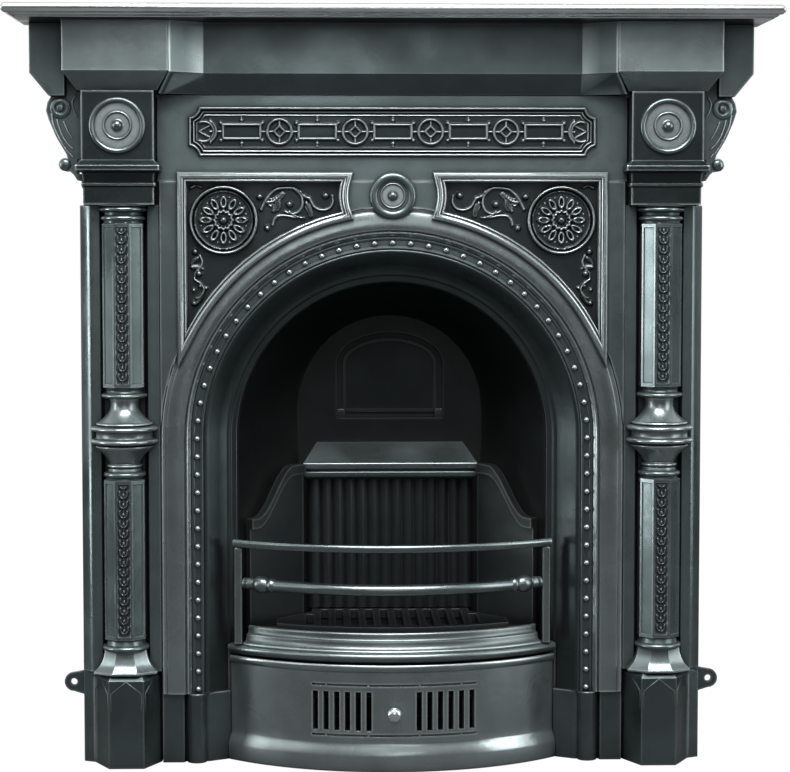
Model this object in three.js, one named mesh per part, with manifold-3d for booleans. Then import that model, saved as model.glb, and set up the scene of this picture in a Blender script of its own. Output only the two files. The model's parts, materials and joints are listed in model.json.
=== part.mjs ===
// A cast iron fireplace with a mantel shelf, an arched opening, octagonal columns and a bowed grate.
// Units are millimetres. X runs across the chimney breast, -Y points into the room and +Z points up.
// The origin is on the floor, midway across, in the plane of the wall that the surround stands against.
import * as THREE from "three";
import { mergeVertices } from "three/addons/utils/BufferGeometryUtils.js";
import Module from "manifold-3d";

const wasm = await Module();
wasm.setup();

// ---- Driving dimensions ----
const HEIGHT = 965; // floor to the top of the shelf
const SHELF_WIDTH = 965;
const REACH = 130; // the shelf in front of the wall plane, and the firebox behind it
const BODY_WIDTH = 799; // over the two jambs
const GAP = 0.3; // between castings that touch

const SHELF_THICKNESS = 17;
const SHELF_UNDERSIDE = HEIGHT - SHELF_THICKNESS;

const BRACKET_BASE = 862; // underside of the two breakfronts below the shelf
const FRIEZE_BASE = 858; // underside of the long frieze box
const FRIEZE_HALF = 239;
const BRACKET_INNER = 281;
const BRACKET_OUTER = 413;
const BRACKET_FRONT = -85;
const FRIEZE_FRONT = -50;
const WING_OUTER = 458;
const WING_FRONT = -45;
const WALL = 5; // thickness of the hollow castings

const FIELD = -28; // front of the flat plates
const PLATE_BACK = -18;
const SUNK = -22; // floor of the sunk spandrel panels
const PANEL_HALF = 263; // half the width between the upright mouldings
const PANEL_TOP = 749;
const FRAME_WIDTH = 12;

const ARCH_Z = 420; // springing line of the arch
const OPENING_RADIUS = 200;
const REVEAL_RADIUS = 243;
const BEAD_RADIUS = 251;
const BAND_INNER = 259;
const BAND_OUTER = 297;
const MEDALLION_Z = 731;
const CRESCENT_RADIUS = 68;

const COLUMN_X = 343;
const COLUMN_Y = -30;
const JAMB_FACE = -24;
const NICHE = -18; // flat ground behind the columns
const NICHE_HALF = 26;
const PLINTH_TOP = 119;
const JAMB_TOP = 719;
const FOOT_HEIGHT = 90;

const CASING_FRONT = 16;
const CASING_BACK = 114;
const CASING_BACK_HALF = 122;
const CASING_BACK_SPRING = 452;
const CASING_WALL = 5;
const GRATE_TOP = 181;
const GRATE_THICKNESS = 12;
const BEARER_TOP = GRATE_TOP - GRATE_THICKNESS - GAP;

const COVER_HALF = 209.2; // half the width of the bowed ash pan cover
const BOW = 83; // how far the cover bows out at its middle
const BOW_RADIUS = (COVER_HALF ** 2 + BOW ** 2) / (2 * BOW);
const BOW_CENTRE_Y = BOW_RADIUS - BOW;
const COVER_TOP = 137;
const COVER_THICKNESS = 6;
const SLOT_COUNT = 6; // on each side of the knob
const SLOT_FIRST = 32;
const SLOT_PITCH = 13.6;
const SLOT_WIDTH = 6.8;
const SLOT_LOW = 52;
const SLOT_HIGH = 102;
const KNOB_Z = 75.5;

const ARC_STEPS = 26; // steps in each half circle of the arch
const BEADS_ON_ARCH = 33;
const BEADS_ON_LEG = 15;

// ---- Finishes ----
const finish = (color, roughness, metalness) => new THREE.MeshStandardMaterial({ color, roughness, metalness });
const BLACKED_IRON = finish(0x2a2f30, 0.45, 0.85);
const POLISHED_IRON = finish(0xa8b6b6, 0.25, 1.0);
const SOOTED_IRON = finish(0x0f1212, 0.8, 0.5);

// ---- Solids ----
function solid(geometry) {
  const plain = geometry.index ? geometry.toNonIndexed() : geometry.clone();
  plain.deleteAttribute("normal");
  plain.deleteAttribute("uv");
  const merged = mergeVertices(plain, 1e-3);
  const corners = merged.index.array;
  const triangles = [];
  for (let i = 0; i < corners.length; i += 3) {
    const [a, b, c] = [corners[i], corners[i + 1], corners[i + 2]];
    if (a !== b && b !== c && c !== a) triangles.push([a, b, c]);
  }
  const build = (faces) =>
    new wasm.Manifold(
      new wasm.Mesh({
        numProp: 3,
        vertProperties: merged.attributes.position.array,
        triVerts: new Uint32Array(faces.flat()),
      }),
    );
  const made = build(triangles);
  return made.volume() < 0 ? build(triangles.map(([a, b, c]) => [a, c, b])) : made;
}

const joined = (pieces) => pieces.reduce((whole, piece) => whole.add(piece));
const cut = (whole, tools) => tools.reduce((rest, tool) => rest.subtract(tool), whole);

// One function makes both pieces of a mirrored pair: side is -1 on the left and 1 on the right.
const SIDES = { left: -1, right: 1 };

const flipped = (points, side) => (side > 0 ? points : points.map(([x, v]) => [-x, v]).reverse());

function prism(points, depth, holes = []) {
  const shape = new THREE.Shape(points.map(([u, v]) => new THREE.Vector2(u, v)));
  shape.holes = holes.map((hole) => new THREE.Path(hole.map(([u, v]) => new THREE.Vector2(u, v))));
  return new THREE.ExtrudeGeometry(shape, { depth, bevelEnabled: false });
}

// A plan outline [x, y] between two heights.
const alongZ = (plan, low, high, holes) => solid(prism(plan, high - low, holes).translate(0, 0, low));

// A front outline [x, z] between two depths.
const alongY = (face, front, back, holes) =>
  solid(prism(face, back - front, holes).rotateX(Math.PI / 2).translate(0, back, 0));

function block(x0, x1, y0, y1, z0, z1) {
  const box = new THREE.BoxGeometry(Math.abs(x1 - x0), y1 - y0, z1 - z0);
  return solid(box.translate((x0 + x1) / 2, (y0 + y1) / 2, (z0 + z1) / 2));
}

// Covers closed rings of points, one after another, and closes the two ends.
function skin(rings, startFace, endFace = startFace) {
  const count = rings[0].length;
  const faces = [];
  for (let ring = 0; ring + 1 < rings.length; ring++) {
    for (let i = 0; i < count; i++) {
      const j = (i + 1) % count;
      const [a, b] = [ring * count + i, ring * count + j];
      faces.push(a, b, b + count, a, b + count, a + count);
    }
  }
  const last = (rings.length - 1) * count;
  for (const [a, b, c] of fan(startFace)) faces.push(a, c, b);
  for (const [a, b, c] of fan(endFace)) faces.push(last + a, last + b, last + c);
  const geometry = new THREE.BufferGeometry().setFromPoints(rings.flat());
  geometry.setIndex(faces);
  return solid(geometry);
}

// Triangles that fill an outline, turning the same way as the outline does.
function fan(outline) {
  const flat = outline.map(([u, v]) => new THREE.Vector2(u, v));
  const forward = THREE.ShapeUtils.area(flat) > 0;
  return THREE.ShapeUtils.triangulateShape(flat, []).map(([a, b, c]) => {
    const turnsForward = THREE.ShapeUtils.area([flat[a], flat[b], flat[c]]) > 0;
    return turnsForward === forward ? [a, b, c] : [a, c, b];
  });
}

// Carries a section [u, v] through stations: u runs along out and v along up.
function carry(section, stations) {
  const rings = stations.map(({ at, out, up }) =>
    section.map(([u, v]) => at.clone().addScaledVector(out, u).addScaledVector(up, v)),
  );
  return skin(rings, section);
}

// Plan outlines [x, y] at rising heights, joined by straight sides.
const stack = (levels) =>
  skin(
    levels.map(([z, plan]) => plan.map(([x, y]) => new THREE.Vector3(x, y, z))),
    levels[0][1],
    levels.at(-1)[1],
  );

// Front outlines [x, z] at growing depths, joined by straight sides.
const stackY = (levels) =>
  skin(
    levels.map(([y, face]) => face.map(([x, z]) => new THREE.Vector3(x, y, z))),
    levels[0][1],
    levels.at(-1)[1],
  );

// A profile [radius, forward] turned about a line that points into the room.
function boss(profile, x, z, ground, sides) {
  const points = profile.map(([r, forward]) => new THREE.Vector2(r, -forward));
  return solid(new THREE.LatheGeometry(points, sides).translate(x, ground, z));
}

// A rod of round section along a curve.
function rod(curve, radius, steps, sides = 8) {
  const section = new THREE.Shape();
  for (let i = 0; i < sides; i++) {
    const angle = (2 * Math.PI * i) / sides;
    section[i ? "lineTo" : "moveTo"](radius * Math.cos(angle), radius * Math.sin(angle));
  }
  section.closePath();
  return solid(new THREE.ExtrudeGeometry(section, { steps, extrudePath: curve, bevelEnabled: false }));
}

const arcPoints = (cx, cz, radius, from, to, steps) =>
  Array.from({ length: steps + 1 }, (_, i) => {
    const angle = from + ((to - from) * i) / steps;
    return [cx + radius * Math.cos(angle), cz + radius * Math.sin(angle)];
  });

// Stations up the left leg, round the arch and down the right leg; u is the radius and v points into the room.
function archStations(low) {
  const up = new THREE.Vector3(0, -1, 0);
  const leg = (side) => ({ at: new THREE.Vector3(0, 0, low), out: new THREE.Vector3(side, 0, 0), up });
  const arc = arcPoints(0, 0, 1, Math.PI, 0, ARC_STEPS).map(([x, z]) => ({
    at: new THREE.Vector3(0, 0, ARCH_Z),
    out: new THREE.Vector3(x, 0, z),
    up,
  }));
  return [leg(-1), ...arc, leg(1)];
}

// Stations along the bow of the grate; u is the distance in front of the bowed face and v is the height.
function bowStations(half, steps) {
  const reach = Math.asin(half / BOW_RADIUS);
  return Array.from({ length: steps + 1 }, (_, i) => {
    const angle = -reach + (2 * reach * i) / steps;
    const out = new THREE.Vector3(Math.sin(angle), -Math.cos(angle), 0);
    const at = out.clone().multiplyScalar(BOW_RADIUS).add(new THREE.Vector3(0, BOW_CENTRE_Y, 0));
    return { at, out, up: new THREE.Vector3(0, 0, 1) };
  });
}

const bowY = (x) => BOW_CENTRE_Y - Math.sqrt(BOW_RADIUS ** 2 - x ** 2);

// ---- Mantel shelf and entablature ----
const BOLT_X = 347;
const BOLT_Y = -30;
const BOLT_RADIUS = 4;
const BOLT_REACH = 10; // into the shelf

const boltHole = (side, low, high) =>
  solid(
    new THREE.CylinderGeometry(BOLT_RADIUS + GAP, BOLT_RADIUS + GAP, high - low, 12)
      .rotateX(Math.PI / 2)
      .translate(side * BOLT_X, BOLT_Y, (low + high) / 2),
  );

function mantelShelf() {
  const edge = 8; // how far the moulded edge stands out of the slab
  const half = SHELF_WIDTH / 2 - edge;
  const front = -(REACH - edge);
  const section = [
    [-14, SHELF_UNDERSIDE],
    [-3, SHELF_UNDERSIDE],
    [1, SHELF_UNDERSIDE + 2],
    [3, SHELF_UNDERSIDE + 5],
    [7, SHELF_UNDERSIDE + 8],
    [edge, SHELF_UNDERSIDE + 12],
    [7, SHELF_UNDERSIDE + 15.5],
    [4, HEIGHT],
    [-14, HEIGHT],
  ];
  const up = new THREE.Vector3(0, 0, 1);
  const station = (x, y, outX, outY) => ({
    at: new THREE.Vector3(x, y, 0),
    out: new THREE.Vector3(outX, outY, 0),
    up,
  });
  const rim = carry(section, [
    station(-half, 0, -1, 0),
    station(-half, front, -1, -1),
    station(half, front, 1, -1),
    station(half, 0, 1, 0),
  ]);
  const slab = block(-half + 4, half - 4, front + 4, 0, SHELF_UNDERSIDE, HEIGHT);
  const [low, high] = [SHELF_UNDERSIDE - 1, SHELF_UNDERSIDE + BOLT_REACH];
  const holes = Object.values(SIDES).map((side) => boltHole(side, low, high));
  return cut(rim.add(slab), holes);
}

function shelfBolt(side) {
  const headTop = SHELF_UNDERSIDE - GAP - WALL - GAP;
  const head = 6;
  const shank = SHELF_UNDERSIDE + BOLT_REACH - 1 - headTop;
  const hexagon = new THREE.CylinderGeometry(7.5, 7.5, head, 6).rotateX(Math.PI / 2);
  const round = new THREE.CylinderGeometry(BOLT_RADIUS, BOLT_RADIUS, shank, 12).rotateX(Math.PI / 2);
  return joined([
    solid(hexagon.translate(side * BOLT_X, BOLT_Y, headTop - head / 2)),
    solid(round.translate(side * BOLT_X, BOLT_Y, headTop + shank / 2)),
  ]);
}

// A hollow breakfront: a box with a slight outward flare, chamfered in below.
function bracket(side) {
  const plan = (inner, outer, front) =>
    flipped([[inner, 0], [outer, 0], [outer, front], [inner, front]], side);
  const top = SHELF_UNDERSIDE - GAP;
  const outside = stack([
    [BRACKET_BASE, plan(296, 397, -62)],
    [885, plan(BRACKET_INNER, BRACKET_OUTER, BRACKET_FRONT - 1)],
    [912, plan(BRACKET_INNER, BRACKET_OUTER, BRACKET_FRONT + 2)],
    [top, plan(BRACKET_INNER, BRACKET_OUTER, BRACKET_FRONT)],
  ]);
  const inside = stack([
    [BRACKET_BASE - 1, plan(301, 392, -55)],
    [885, plan(BRACKET_INNER + WALL, BRACKET_OUTER - WALL, BRACKET_FRONT + 8)],
    [top - WALL, plan(BRACKET_INNER + WALL, BRACKET_OUTER - WALL, BRACKET_FRONT + 8)],
  ]);
  const openBack = block(side * 302, side * 391, -20, 1, BRACKET_BASE - 1, top - WALL);
  return cut(outside, [inside, openBack, boltHole(side, top - WALL - 1, top + 1)]);
}

// The set-back end of the entablature, sloped in below.
function wing(side) {
  const plan = (inner, outer, back, front) =>
    flipped([[inner, back], [outer, back], [outer, front], [inner, front]], side);
  const shell = (outer) => plan(BRACKET_OUTER + GAP, outer, 0, WING_FRONT);
  const hollow = (outer) => plan(BRACKET_OUTER + WALL, outer, 1, WING_FRONT + WALL);
  const top = SHELF_UNDERSIDE - GAP;
  const outside = stack([
    [856, shell(434)],
    [885, shell(WING_OUTER)],
    [top, shell(WING_OUTER)],
  ]);
  const inside = stack([
    [865, hollow(434)],
    [885, hollow(WING_OUTER - WALL)],
    [top - WALL, hollow(WING_OUTER - WALL)],
  ]);
  return cut(outside, [inside]);
}

// The long frieze box: splayed ends run out to the breakfronts, and the foot slopes back to the plate below.
function friezeBox() {
  const plan = (front, endFront, inset, back, end = BRACKET_INNER - GAP) => [
    [-end + inset, back],
    [-end + inset, endFront],
    [-FRIEZE_HALF + inset / 2, front],
    [FRIEZE_HALF - inset / 2, front],
    [end - inset, endFront],
    [end - inset, back],
  ];
  const top = SHELF_UNDERSIDE - GAP;
  const outside = stack([
    [FRIEZE_BASE + GAP, plan(-31, -60, 0, 0, BRACKET_INNER + 14)],
    [884, plan(FRIEZE_FRONT, BRACKET_FRONT + 3, 0, 0)],
    [top, plan(FRIEZE_FRONT, BRACKET_FRONT + 3, 0, 0)],
  ]);
  const inside = stack([
    [FRIEZE_BASE - 1, plan(-24, -52, WALL, 1, BRACKET_INNER + 14)],
    [884, plan(FRIEZE_FRONT + WALL, BRACKET_FRONT + 11, WALL, 1)],
    [top - WALL, plan(FRIEZE_FRONT + WALL, BRACKET_FRONT + 11, WALL, 1)],
  ]);
  return outside.subtract(inside);
}

// ---- Frieze plate and fret ----
function friezePlate() {
  const half = 300;
  return block(-half, half, FIELD, PLATE_BACK, PANEL_TOP + GAP, FRIEZE_BASE);
}

const FRET_HALF = 260;
const FRET_LOW = 780;
const FRET_HIGH = 844;
const FRET_Z = (FRET_LOW + FRET_HIGH) / 2;
const FRET_CORNER = 14;
const FRET_CIRCLES = 4;
const FRET_PITCH = 96; // centre to centre of the circles
const CIRCLE_RADIUS = 17.4;
const FRET_LINE = 4.2; // width of the raised strapwork

// A rectangle with hollowed corners, set in by a margin.
function fretOutline(inset) {
  const [half, low, high] = [FRET_HALF - inset, FRET_LOW + inset, FRET_HIGH - inset];
  const corner = (x, z, from) => arcPoints(x, z, FRET_CORNER, from, from - Math.PI / 2, 3);
  return [
    ...corner(half, low, Math.PI),
    ...corner(half, high, (3 * Math.PI) / 2),
    ...corner(-half, high, 2 * Math.PI),
    ...corner(-half, low, Math.PI / 2),
  ];
}

const circleOutline = (x, z, radius, steps) => arcPoints(x, z, radius, 0, 2 * Math.PI, steps).slice(0, -1);
const diamond = (x, z, r) => [[x - r, z], [x, z - r], [x + r, z], [x, z + r]];
const rectangle = (x0, x1, z0, z1) => [[x0, z0], [x1, z0], [x1, z1], [x0, z1]];

function fretPanel() {
  const ground = FIELD - GAP;
  const backing = alongY(fretOutline(0), ground - 2, ground);
  const frame = alongY(fretOutline(0.5), ground - 7, ground - 1, [fretOutline(6)]);
  const inner = alongY(fretOutline(10), ground - 4.5, ground - 1, [fretOutline(13)]);
  const front = ground - 5;
  const pieces = [backing, frame, inner];
  for (let i = 0; i < FRET_CIRCLES; i++) {
    const x = (i - (FRET_CIRCLES - 1) / 2) * FRET_PITCH;
    pieces.push(
      alongY(circleOutline(x, FRET_Z, CIRCLE_RADIUS, 10), front, ground - 1, [
        circleOutline(x, FRET_Z, CIRCLE_RADIUS - FRET_LINE, 10),
      ]),
      alongY(diamond(x, FRET_Z, CIRCLE_RADIUS - 2), front, ground - 1, [diamond(x, FRET_Z, 6)]),
    );
  }
  const rectangleHalf = 26;
  const rectangleRise = 11;
  for (let i = 0; i <= FRET_CIRCLES; i++) {
    const x = (i - FRET_CIRCLES / 2) * FRET_PITCH;
    const outer = rectangle(x - rectangleHalf, x + rectangleHalf, FRET_Z - rectangleRise, FRET_Z + rectangleRise);
    const hole = rectangle(
      x - rectangleHalf + FRET_LINE,
      x + rectangleHalf - FRET_LINE,
      FRET_Z - rectangleRise + FRET_LINE,
      FRET_Z + rectangleRise - FRET_LINE,
    );
    pieces.push(alongY(outer, front, ground - 1, [hole]));
    for (const end of [-1, 1]) {
      const link = [x + end * rectangleHalf, x + end * (rectangleHalf + 5.5)].sort((a, b) => a - b);
      const bar = rectangle(link[0] - 0.5, link[1] + 0.5, FRET_Z - 2, FRET_Z + 2);
      pieces.push(alongY(bar, front, ground - 1));
      const stud = FRET_Z + end * (rectangleRise + 2.5);
      pieces.push(alongY(rectangle(x - 2, x + 2, stud - 2.8, stud + 2.8), front, ground - 1));
    }
  }
  return joined(pieces);
}

// ---- Cap blocks, roundels and scroll consoles ----
const BLOCK_INNER = 301;
const BLOCK_OUTER = 392;

function capBlock(side) {
  const plan = (grow, front, back = 0) => {
    const [inner, outer] = [BLOCK_INNER - grow, BLOCK_OUTER + grow];
    return flipped([[inner, back], [outer, back], [outer, front], [inner, front]], side);
  };
  const outside = stack([
    [JAMB_TOP + GAP, plan(-1, -52)],
    [741, plan(-1, -52)],
    [743, plan(1, -55)],
    [746, plan(1, -55)],
    [748, plan(-1, -53)],
    [759, plan(0, -56)],
    [762, plan(7, -69)],
    [768, plan(7, -69)],
    [772, plan(3, -65)],
    [775, plan(0, -62)],
    [BRACKET_BASE - GAP, plan(0, -62)],
  ]);
  const inside = stack([
    [JAMB_TOP - 1, plan(-8, -45, 1)],
    [759, plan(-8, -48, 1)],
    [BRACKET_BASE + 1, plan(-8, -55, 1)],
  ]);
  const plateSeat = block(
    side * (BLOCK_INNER - 20),
    side * (BLOCK_INNER - 0.5),
    FIELD - GAP,
    1,
    JAMB_TOP - 1,
    BRACKET_BASE + 1,
  );
  return cut(outside, [inside, plateSeat]);
}

// Rings and boss of a roundel, scaled from its outer radius.
const roundelProfile = (outer) => [
  [0, 0],
  [outer, 0],
  [outer, 4],
  [outer * 0.94, 6.5],
  [outer * 0.85, 6.5],
  [outer * 0.77, 3],
  [outer * 0.56, 3],
  [outer * 0.5, 5.5],
  [outer * 0.42, 5.5],
  [outer * 0.37, 3],
  [outer * 0.24, 3],
  [outer * 0.2, 8],
  [outer * 0.1, 10.5],
  [0, 11],
];

const ROUNDEL_RADIUS = 35.5;
const ROUNDEL_Z = 818;
const MEDALLION_RADIUS = 29.5;

const capRoundel = (side) =>
  boss(roundelProfile(ROUNDEL_RADIUS), side * (BLOCK_INNER + BLOCK_OUTER) / 2, ROUNDEL_Z, -62 - GAP, 20);
const centreMedallion = () => boss(roundelProfile(MEDALLION_RADIUS), 0, MEDALLION_Z, FIELD - GAP, 20);

// A scroll beside the cap block, swelling to a volute at the top and ending in a drop.
function scrollConsole(side) {
  const face = [
    [BLOCK_OUTER + GAP, BRACKET_BASE - 0.6],
    [397.3, BRACKET_BASE - 0.6],
    [BRACKET_OUTER, 884],
    [BRACKET_OUTER, 855.5],
    [432, 855.5],
    [436.5, 848],
    [438.5, 838],
    [434.5, 825],
    [425, 803],
    [413, 783],
    ...arcPoints(414.5, 770, 8.5, 1.9, -2.1, 8),
    [404, 757],
    [399.5, 750],
    [BLOCK_OUTER + GAP, 748.5],
  ];
  const body = alongY(flipped(face, side), -36, -4);
  const clearance = block(side * (BLOCK_OUTER - 1), side * (BLOCK_OUTER + 7 + GAP), -40, 1, 758, 776);
  const eye = [[0, 0], [13, 0], [13, 3], [8.5, 4.5], [5.5, 2], [4, 5], [0, 5.5]];
  const volute = boss(eye, side * 420, 841, -35, 12);
  return body.add(volute).subtract(clearance);
}

// ---- Jambs, columns, plinths and feet ----
const JAMB_INNER = BAND_OUTER + GAP;
const JAMB_OUTER = BODY_WIDTH / 2;

function jamb(side) {
  const plan = [
    [JAMB_INNER, 0],
    [JAMB_INNER, JAMB_FACE],
    [COLUMN_X - NICHE_HALF - 4, JAMB_FACE],
    [COLUMN_X - NICHE_HALF, NICHE],
    [COLUMN_X + NICHE_HALF, NICHE],
    [COLUMN_X + NICHE_HALF + 4, JAMB_FACE],
    [385, JAMB_FACE],
    [390, -21],
    [JAMB_OUTER, -10],
    [JAMB_OUTER, 0],
    [JAMB_OUTER - WALL, 0],
    [JAMB_OUTER - WALL, -8],
    [390, -12],
    [JAMB_INNER + WALL, -12],
    [JAMB_INNER + WALL, 0],
  ];
  return alongZ(flipped(plan, side), PLINTH_TOP + GAP, JAMB_TOP);
}

const COLUMN_SIDES = 11; // an odd count, so that the front facets have no point in their middle

// A section that fits the niche is backed by its ground, and a wider one stops at the jamb's face.
const backOf = (half) => (half < NICHE_HALF ? NICHE : JAMB_FACE) - GAP;

// The front part of a round section, with straight sides to the back.
const halfRound = (radius) => [
  [radius, backOf(radius)],
  ...arcPoints(0, COLUMN_Y, radius, 0, -Math.PI, COLUMN_SIDES),
  [-radius, backOf(radius)],
];

// The front of an octagon, with each corner repeated so that it has as many points as a half round.
function halfOctagon(across, front = across / 2, facet = across * Math.tan(Math.PI / 8)) {
  const half = across / 2;
  const shoulder = [half, COLUMN_Y - front + half - facet / 2];
  const corner = [facet / 2, COLUMN_Y - front];
  const right = [shoulder, shoulder, shoulder, corner, corner, corner];
  const left = right.map(([x, y]) => [-x, y]).reverse();
  return [[half, backOf(half)], ...right, ...left, [-half, backOf(half)]];
}

function column(side, levels) {
  return stack(levels.map(([z, plan]) => [z, plan.map(([x, y]) => [x + side * COLUMN_X, y])]));
}

const SHAFT_ACROSS = 51;
const UPPER_SHAFT_BASE = 473;
const KNOP_BASE = 384;
const LOWER_SHAFT_TOP = KNOP_BASE - GAP;

function upperShaft(side) {
  return column(side, [
    [UPPER_SHAFT_BASE + GAP, halfRound(24)],
    [475, halfRound(29)],
    [479, halfRound(29)],
    [481, halfRound(24)],
    [487, halfOctagon(SHAFT_ACROSS)],
    [696, halfOctagon(SHAFT_ACROSS)],
    [699, halfRound(25)],
    [701, halfRound(27.5)],
    [704, halfRound(27.5)],
    [706, halfRound(24)],
    [710, halfRound(25)],
    [712, halfRound(29.5)],
    [716, halfRound(29.5)],
    [JAMB_TOP, halfRound(31)],
  ]);
}

function knop(side) {
  return column(side, [
    [KNOP_BASE, halfRound(20)],
    [389, halfRound(20)],
    [400, halfRound(27)],
    [411, halfRound(33)],
    [413, halfRound(36)],
    [417, halfRound(36)],
    [418, halfRound(42)],
    [423, halfRound(42.5)],
    [425, halfRound(38)],
    [431, halfRound(38)],
    [433, halfRound(42.5)],
    [438, halfRound(42)],
    [439, halfRound(36)],
    [443, halfRound(34)],
    [448, halfRound(27)],
    [458, halfRound(20)],
    [468, halfRound(18)],
    [UPPER_SHAFT_BASE, halfRound(19)],
  ]);
}

function lowerShaft(side) {
  const baseWidth = 84;
  return column(side, [
    [PLINTH_TOP + GAP, halfOctagon(baseWidth - 4, 24.5, 40)],
    [121, halfOctagon(baseWidth - 4, 24.5, 40)],
    [133, halfOctagon(62, 25, 34)],
    [145, halfOctagon(54, 24, 30)],
    [149, halfRound(25)],
    [151, halfRound(29)],
    [156, halfRound(29)],
    [158, halfRound(25)],
    [163, halfOctagon(SHAFT_ACROSS)],
    [370, halfOctagon(SHAFT_ACROSS)],
    [374, halfRound(23)],
    [378, halfRound(25.5)],
    [382, halfRound(25.5)],
    [LOWER_SHAFT_TOP, halfRound(21)],
  ]);
}

const PLINTH_FRONT = -57;
const PLINTH_SHOULDER = -15;
const LUG_X = 412.5;
const LUG_Z = 103.5;
const LUG_RADIUS = 12.5;
const LUG_HOLE = 4.2;

// The octagonal plinth stands on the floor and carries a drilled fixing lug on its outer side.
function plinth(side) {
  const plan = (inset) =>
    flipped(
      [
        [JAMB_INNER + 1, 0],
        [JAMB_OUTER, 0],
        [JAMB_OUTER, -8 - inset / 8],
        [385 - inset, PLINTH_SHOULDER],
        [363.5 - inset / 2, PLINTH_FRONT + inset],
        [318.5 + inset / 2, PLINTH_FRONT + inset],
        [JAMB_INNER + 1 + inset / 2, PLINTH_SHOULDER],
      ],
      side,
    );
  const outside = stack([[0, plan(0)], [PLINTH_TOP - 6, plan(0)], [PLINTH_TOP, plan(6)]]);
  const hollow = flipped([[305, 1], [393, 1], [388, -8], [360, -48], [322, -48], [305, -13]], side);
  const ear = [[398, LUG_Z + 15], ...arcPoints(LUG_X, LUG_Z, LUG_RADIUS, 1.6, -1.6, 9), [398, LUG_Z - 17]];
  const lug = alongY(flipped(ear, side), -5, 0, [circleOutline(side * LUG_X, LUG_Z, LUG_HOLE, 12)]);
  return outside.subtract(alongZ(hollow, -1, PLINTH_TOP - 8)).add(lug);
}

// The stepped foot under the arch band, with a half round post in its middle.
function foot(side) {
  const inner = 210.5;
  const plan = [
    [BAND_OUTER, 0],
    [BAND_OUTER, -22],
    [269, -22],
    [267, -16],
    ...arcPoints(253, -16, 13, 0, -Math.PI, 8),
    [237, -16],
    [inner, -1],
    [inner, 6],
    [inner + WALL + 2, 6],
    [240, -9],
    [BAND_OUTER - WALL, -9],
    [BAND_OUTER - WALL, 0],
  ];
  return alongZ(flipped(plan, side), 0, FOOT_HEIGHT);
}

// ---- Arch: band, spandrels, beads and reveal ----
function archBand() {
  const section = [
    [BAND_INNER + GAP, 18],
    [BAND_INNER + GAP, 22],
    [BAND_INNER + 6, 25],
    [BAND_INNER + 9, -FIELD],
    [BAND_OUTER - 5, -FIELD],
    [BAND_OUTER - 4, 25],
    [BAND_OUTER - GAP, 25],
    [BAND_OUTER - GAP, 18],
  ];
  return carry(section, archStations(FOOT_HEIGHT + GAP));
}

// Where two circles meet, on the right-hand side: the crescent round the medallion and the arch moulding.
function circlesMeet(crescent, arch) {
  const apart = MEDALLION_Z - ARCH_Z;
  const along = (apart ** 2 + arch ** 2 - crescent ** 2) / (2 * apart);
  return [Math.sqrt(arch ** 2 - along ** 2), ARCH_Z + along];
}

// The spandrel panel's outline, set in by a margin: top, upright, arch and crescent.
function spandrelOutline(inset) {
  const half = PANEL_HALF - inset;
  const top = PANEL_TOP - inset;
  const crescent = CRESCENT_RADIUS + inset;
  const arch = BAND_OUTER + inset;
  const [meetX, meetZ] = circlesMeet(crescent, arch);
  const crescentTop = Math.asin(Math.max(-1, Math.min(1, (top - MEDALLION_Z) / crescent)));
  const crescentFoot = Math.atan2(meetZ - MEDALLION_Z, meetX);
  const archHigh = Math.atan2(meetZ - ARCH_Z, meetX);
  const archLow = Math.acos(half / arch);
  return [
    [half, top],
    ...arcPoints(0, MEDALLION_Z, crescent, crescentTop, crescentFoot, 5),
    ...arcPoints(0, ARCH_Z, arch, archHigh, archLow, 9).slice(1),
  ];
}

// Plate behind each spandrel, from the centre line to the jamb, with the panel sunk into it.
function spandrelPlate(side) {
  const edge = BAND_OUTER + 0.1;
  const face = [
    [GAP / 2, PANEL_TOP],
    ...arcPoints(0, ARCH_Z, edge, Math.PI / 2 - 0.0006, 0.06, 16),
    [BAND_OUTER, ARCH_Z + 18],
    [BAND_OUTER, PANEL_TOP],
  ];
  const plate = alongY(flipped(face, side), FIELD, PLATE_BACK);
  const pocket = alongY(flipped(spandrelOutline(1), side), FIELD - 1, SUNK);
  return plate.subtract(pocket);
}

// The raised moulding that frames each spandrel panel.
function spandrelFrame(side) {
  const back = FIELD - GAP;
  const base = alongY(flipped(spandrelOutline(-FRAME_WIDTH), side), back - 4, back, [
    flipped(spandrelOutline(0), side),
  ]);
  const ridge = alongY(flipped(spandrelOutline(-FRAME_WIDTH + 2), side), back - 9, back - 3, [
    flipped(spandrelOutline(-4), side),
  ]);
  return base.add(ridge);
}

const ROSETTE_X = 212;
const ROSETTE_Z = 700;
const ROSETTE_RADIUS = 44;

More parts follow.
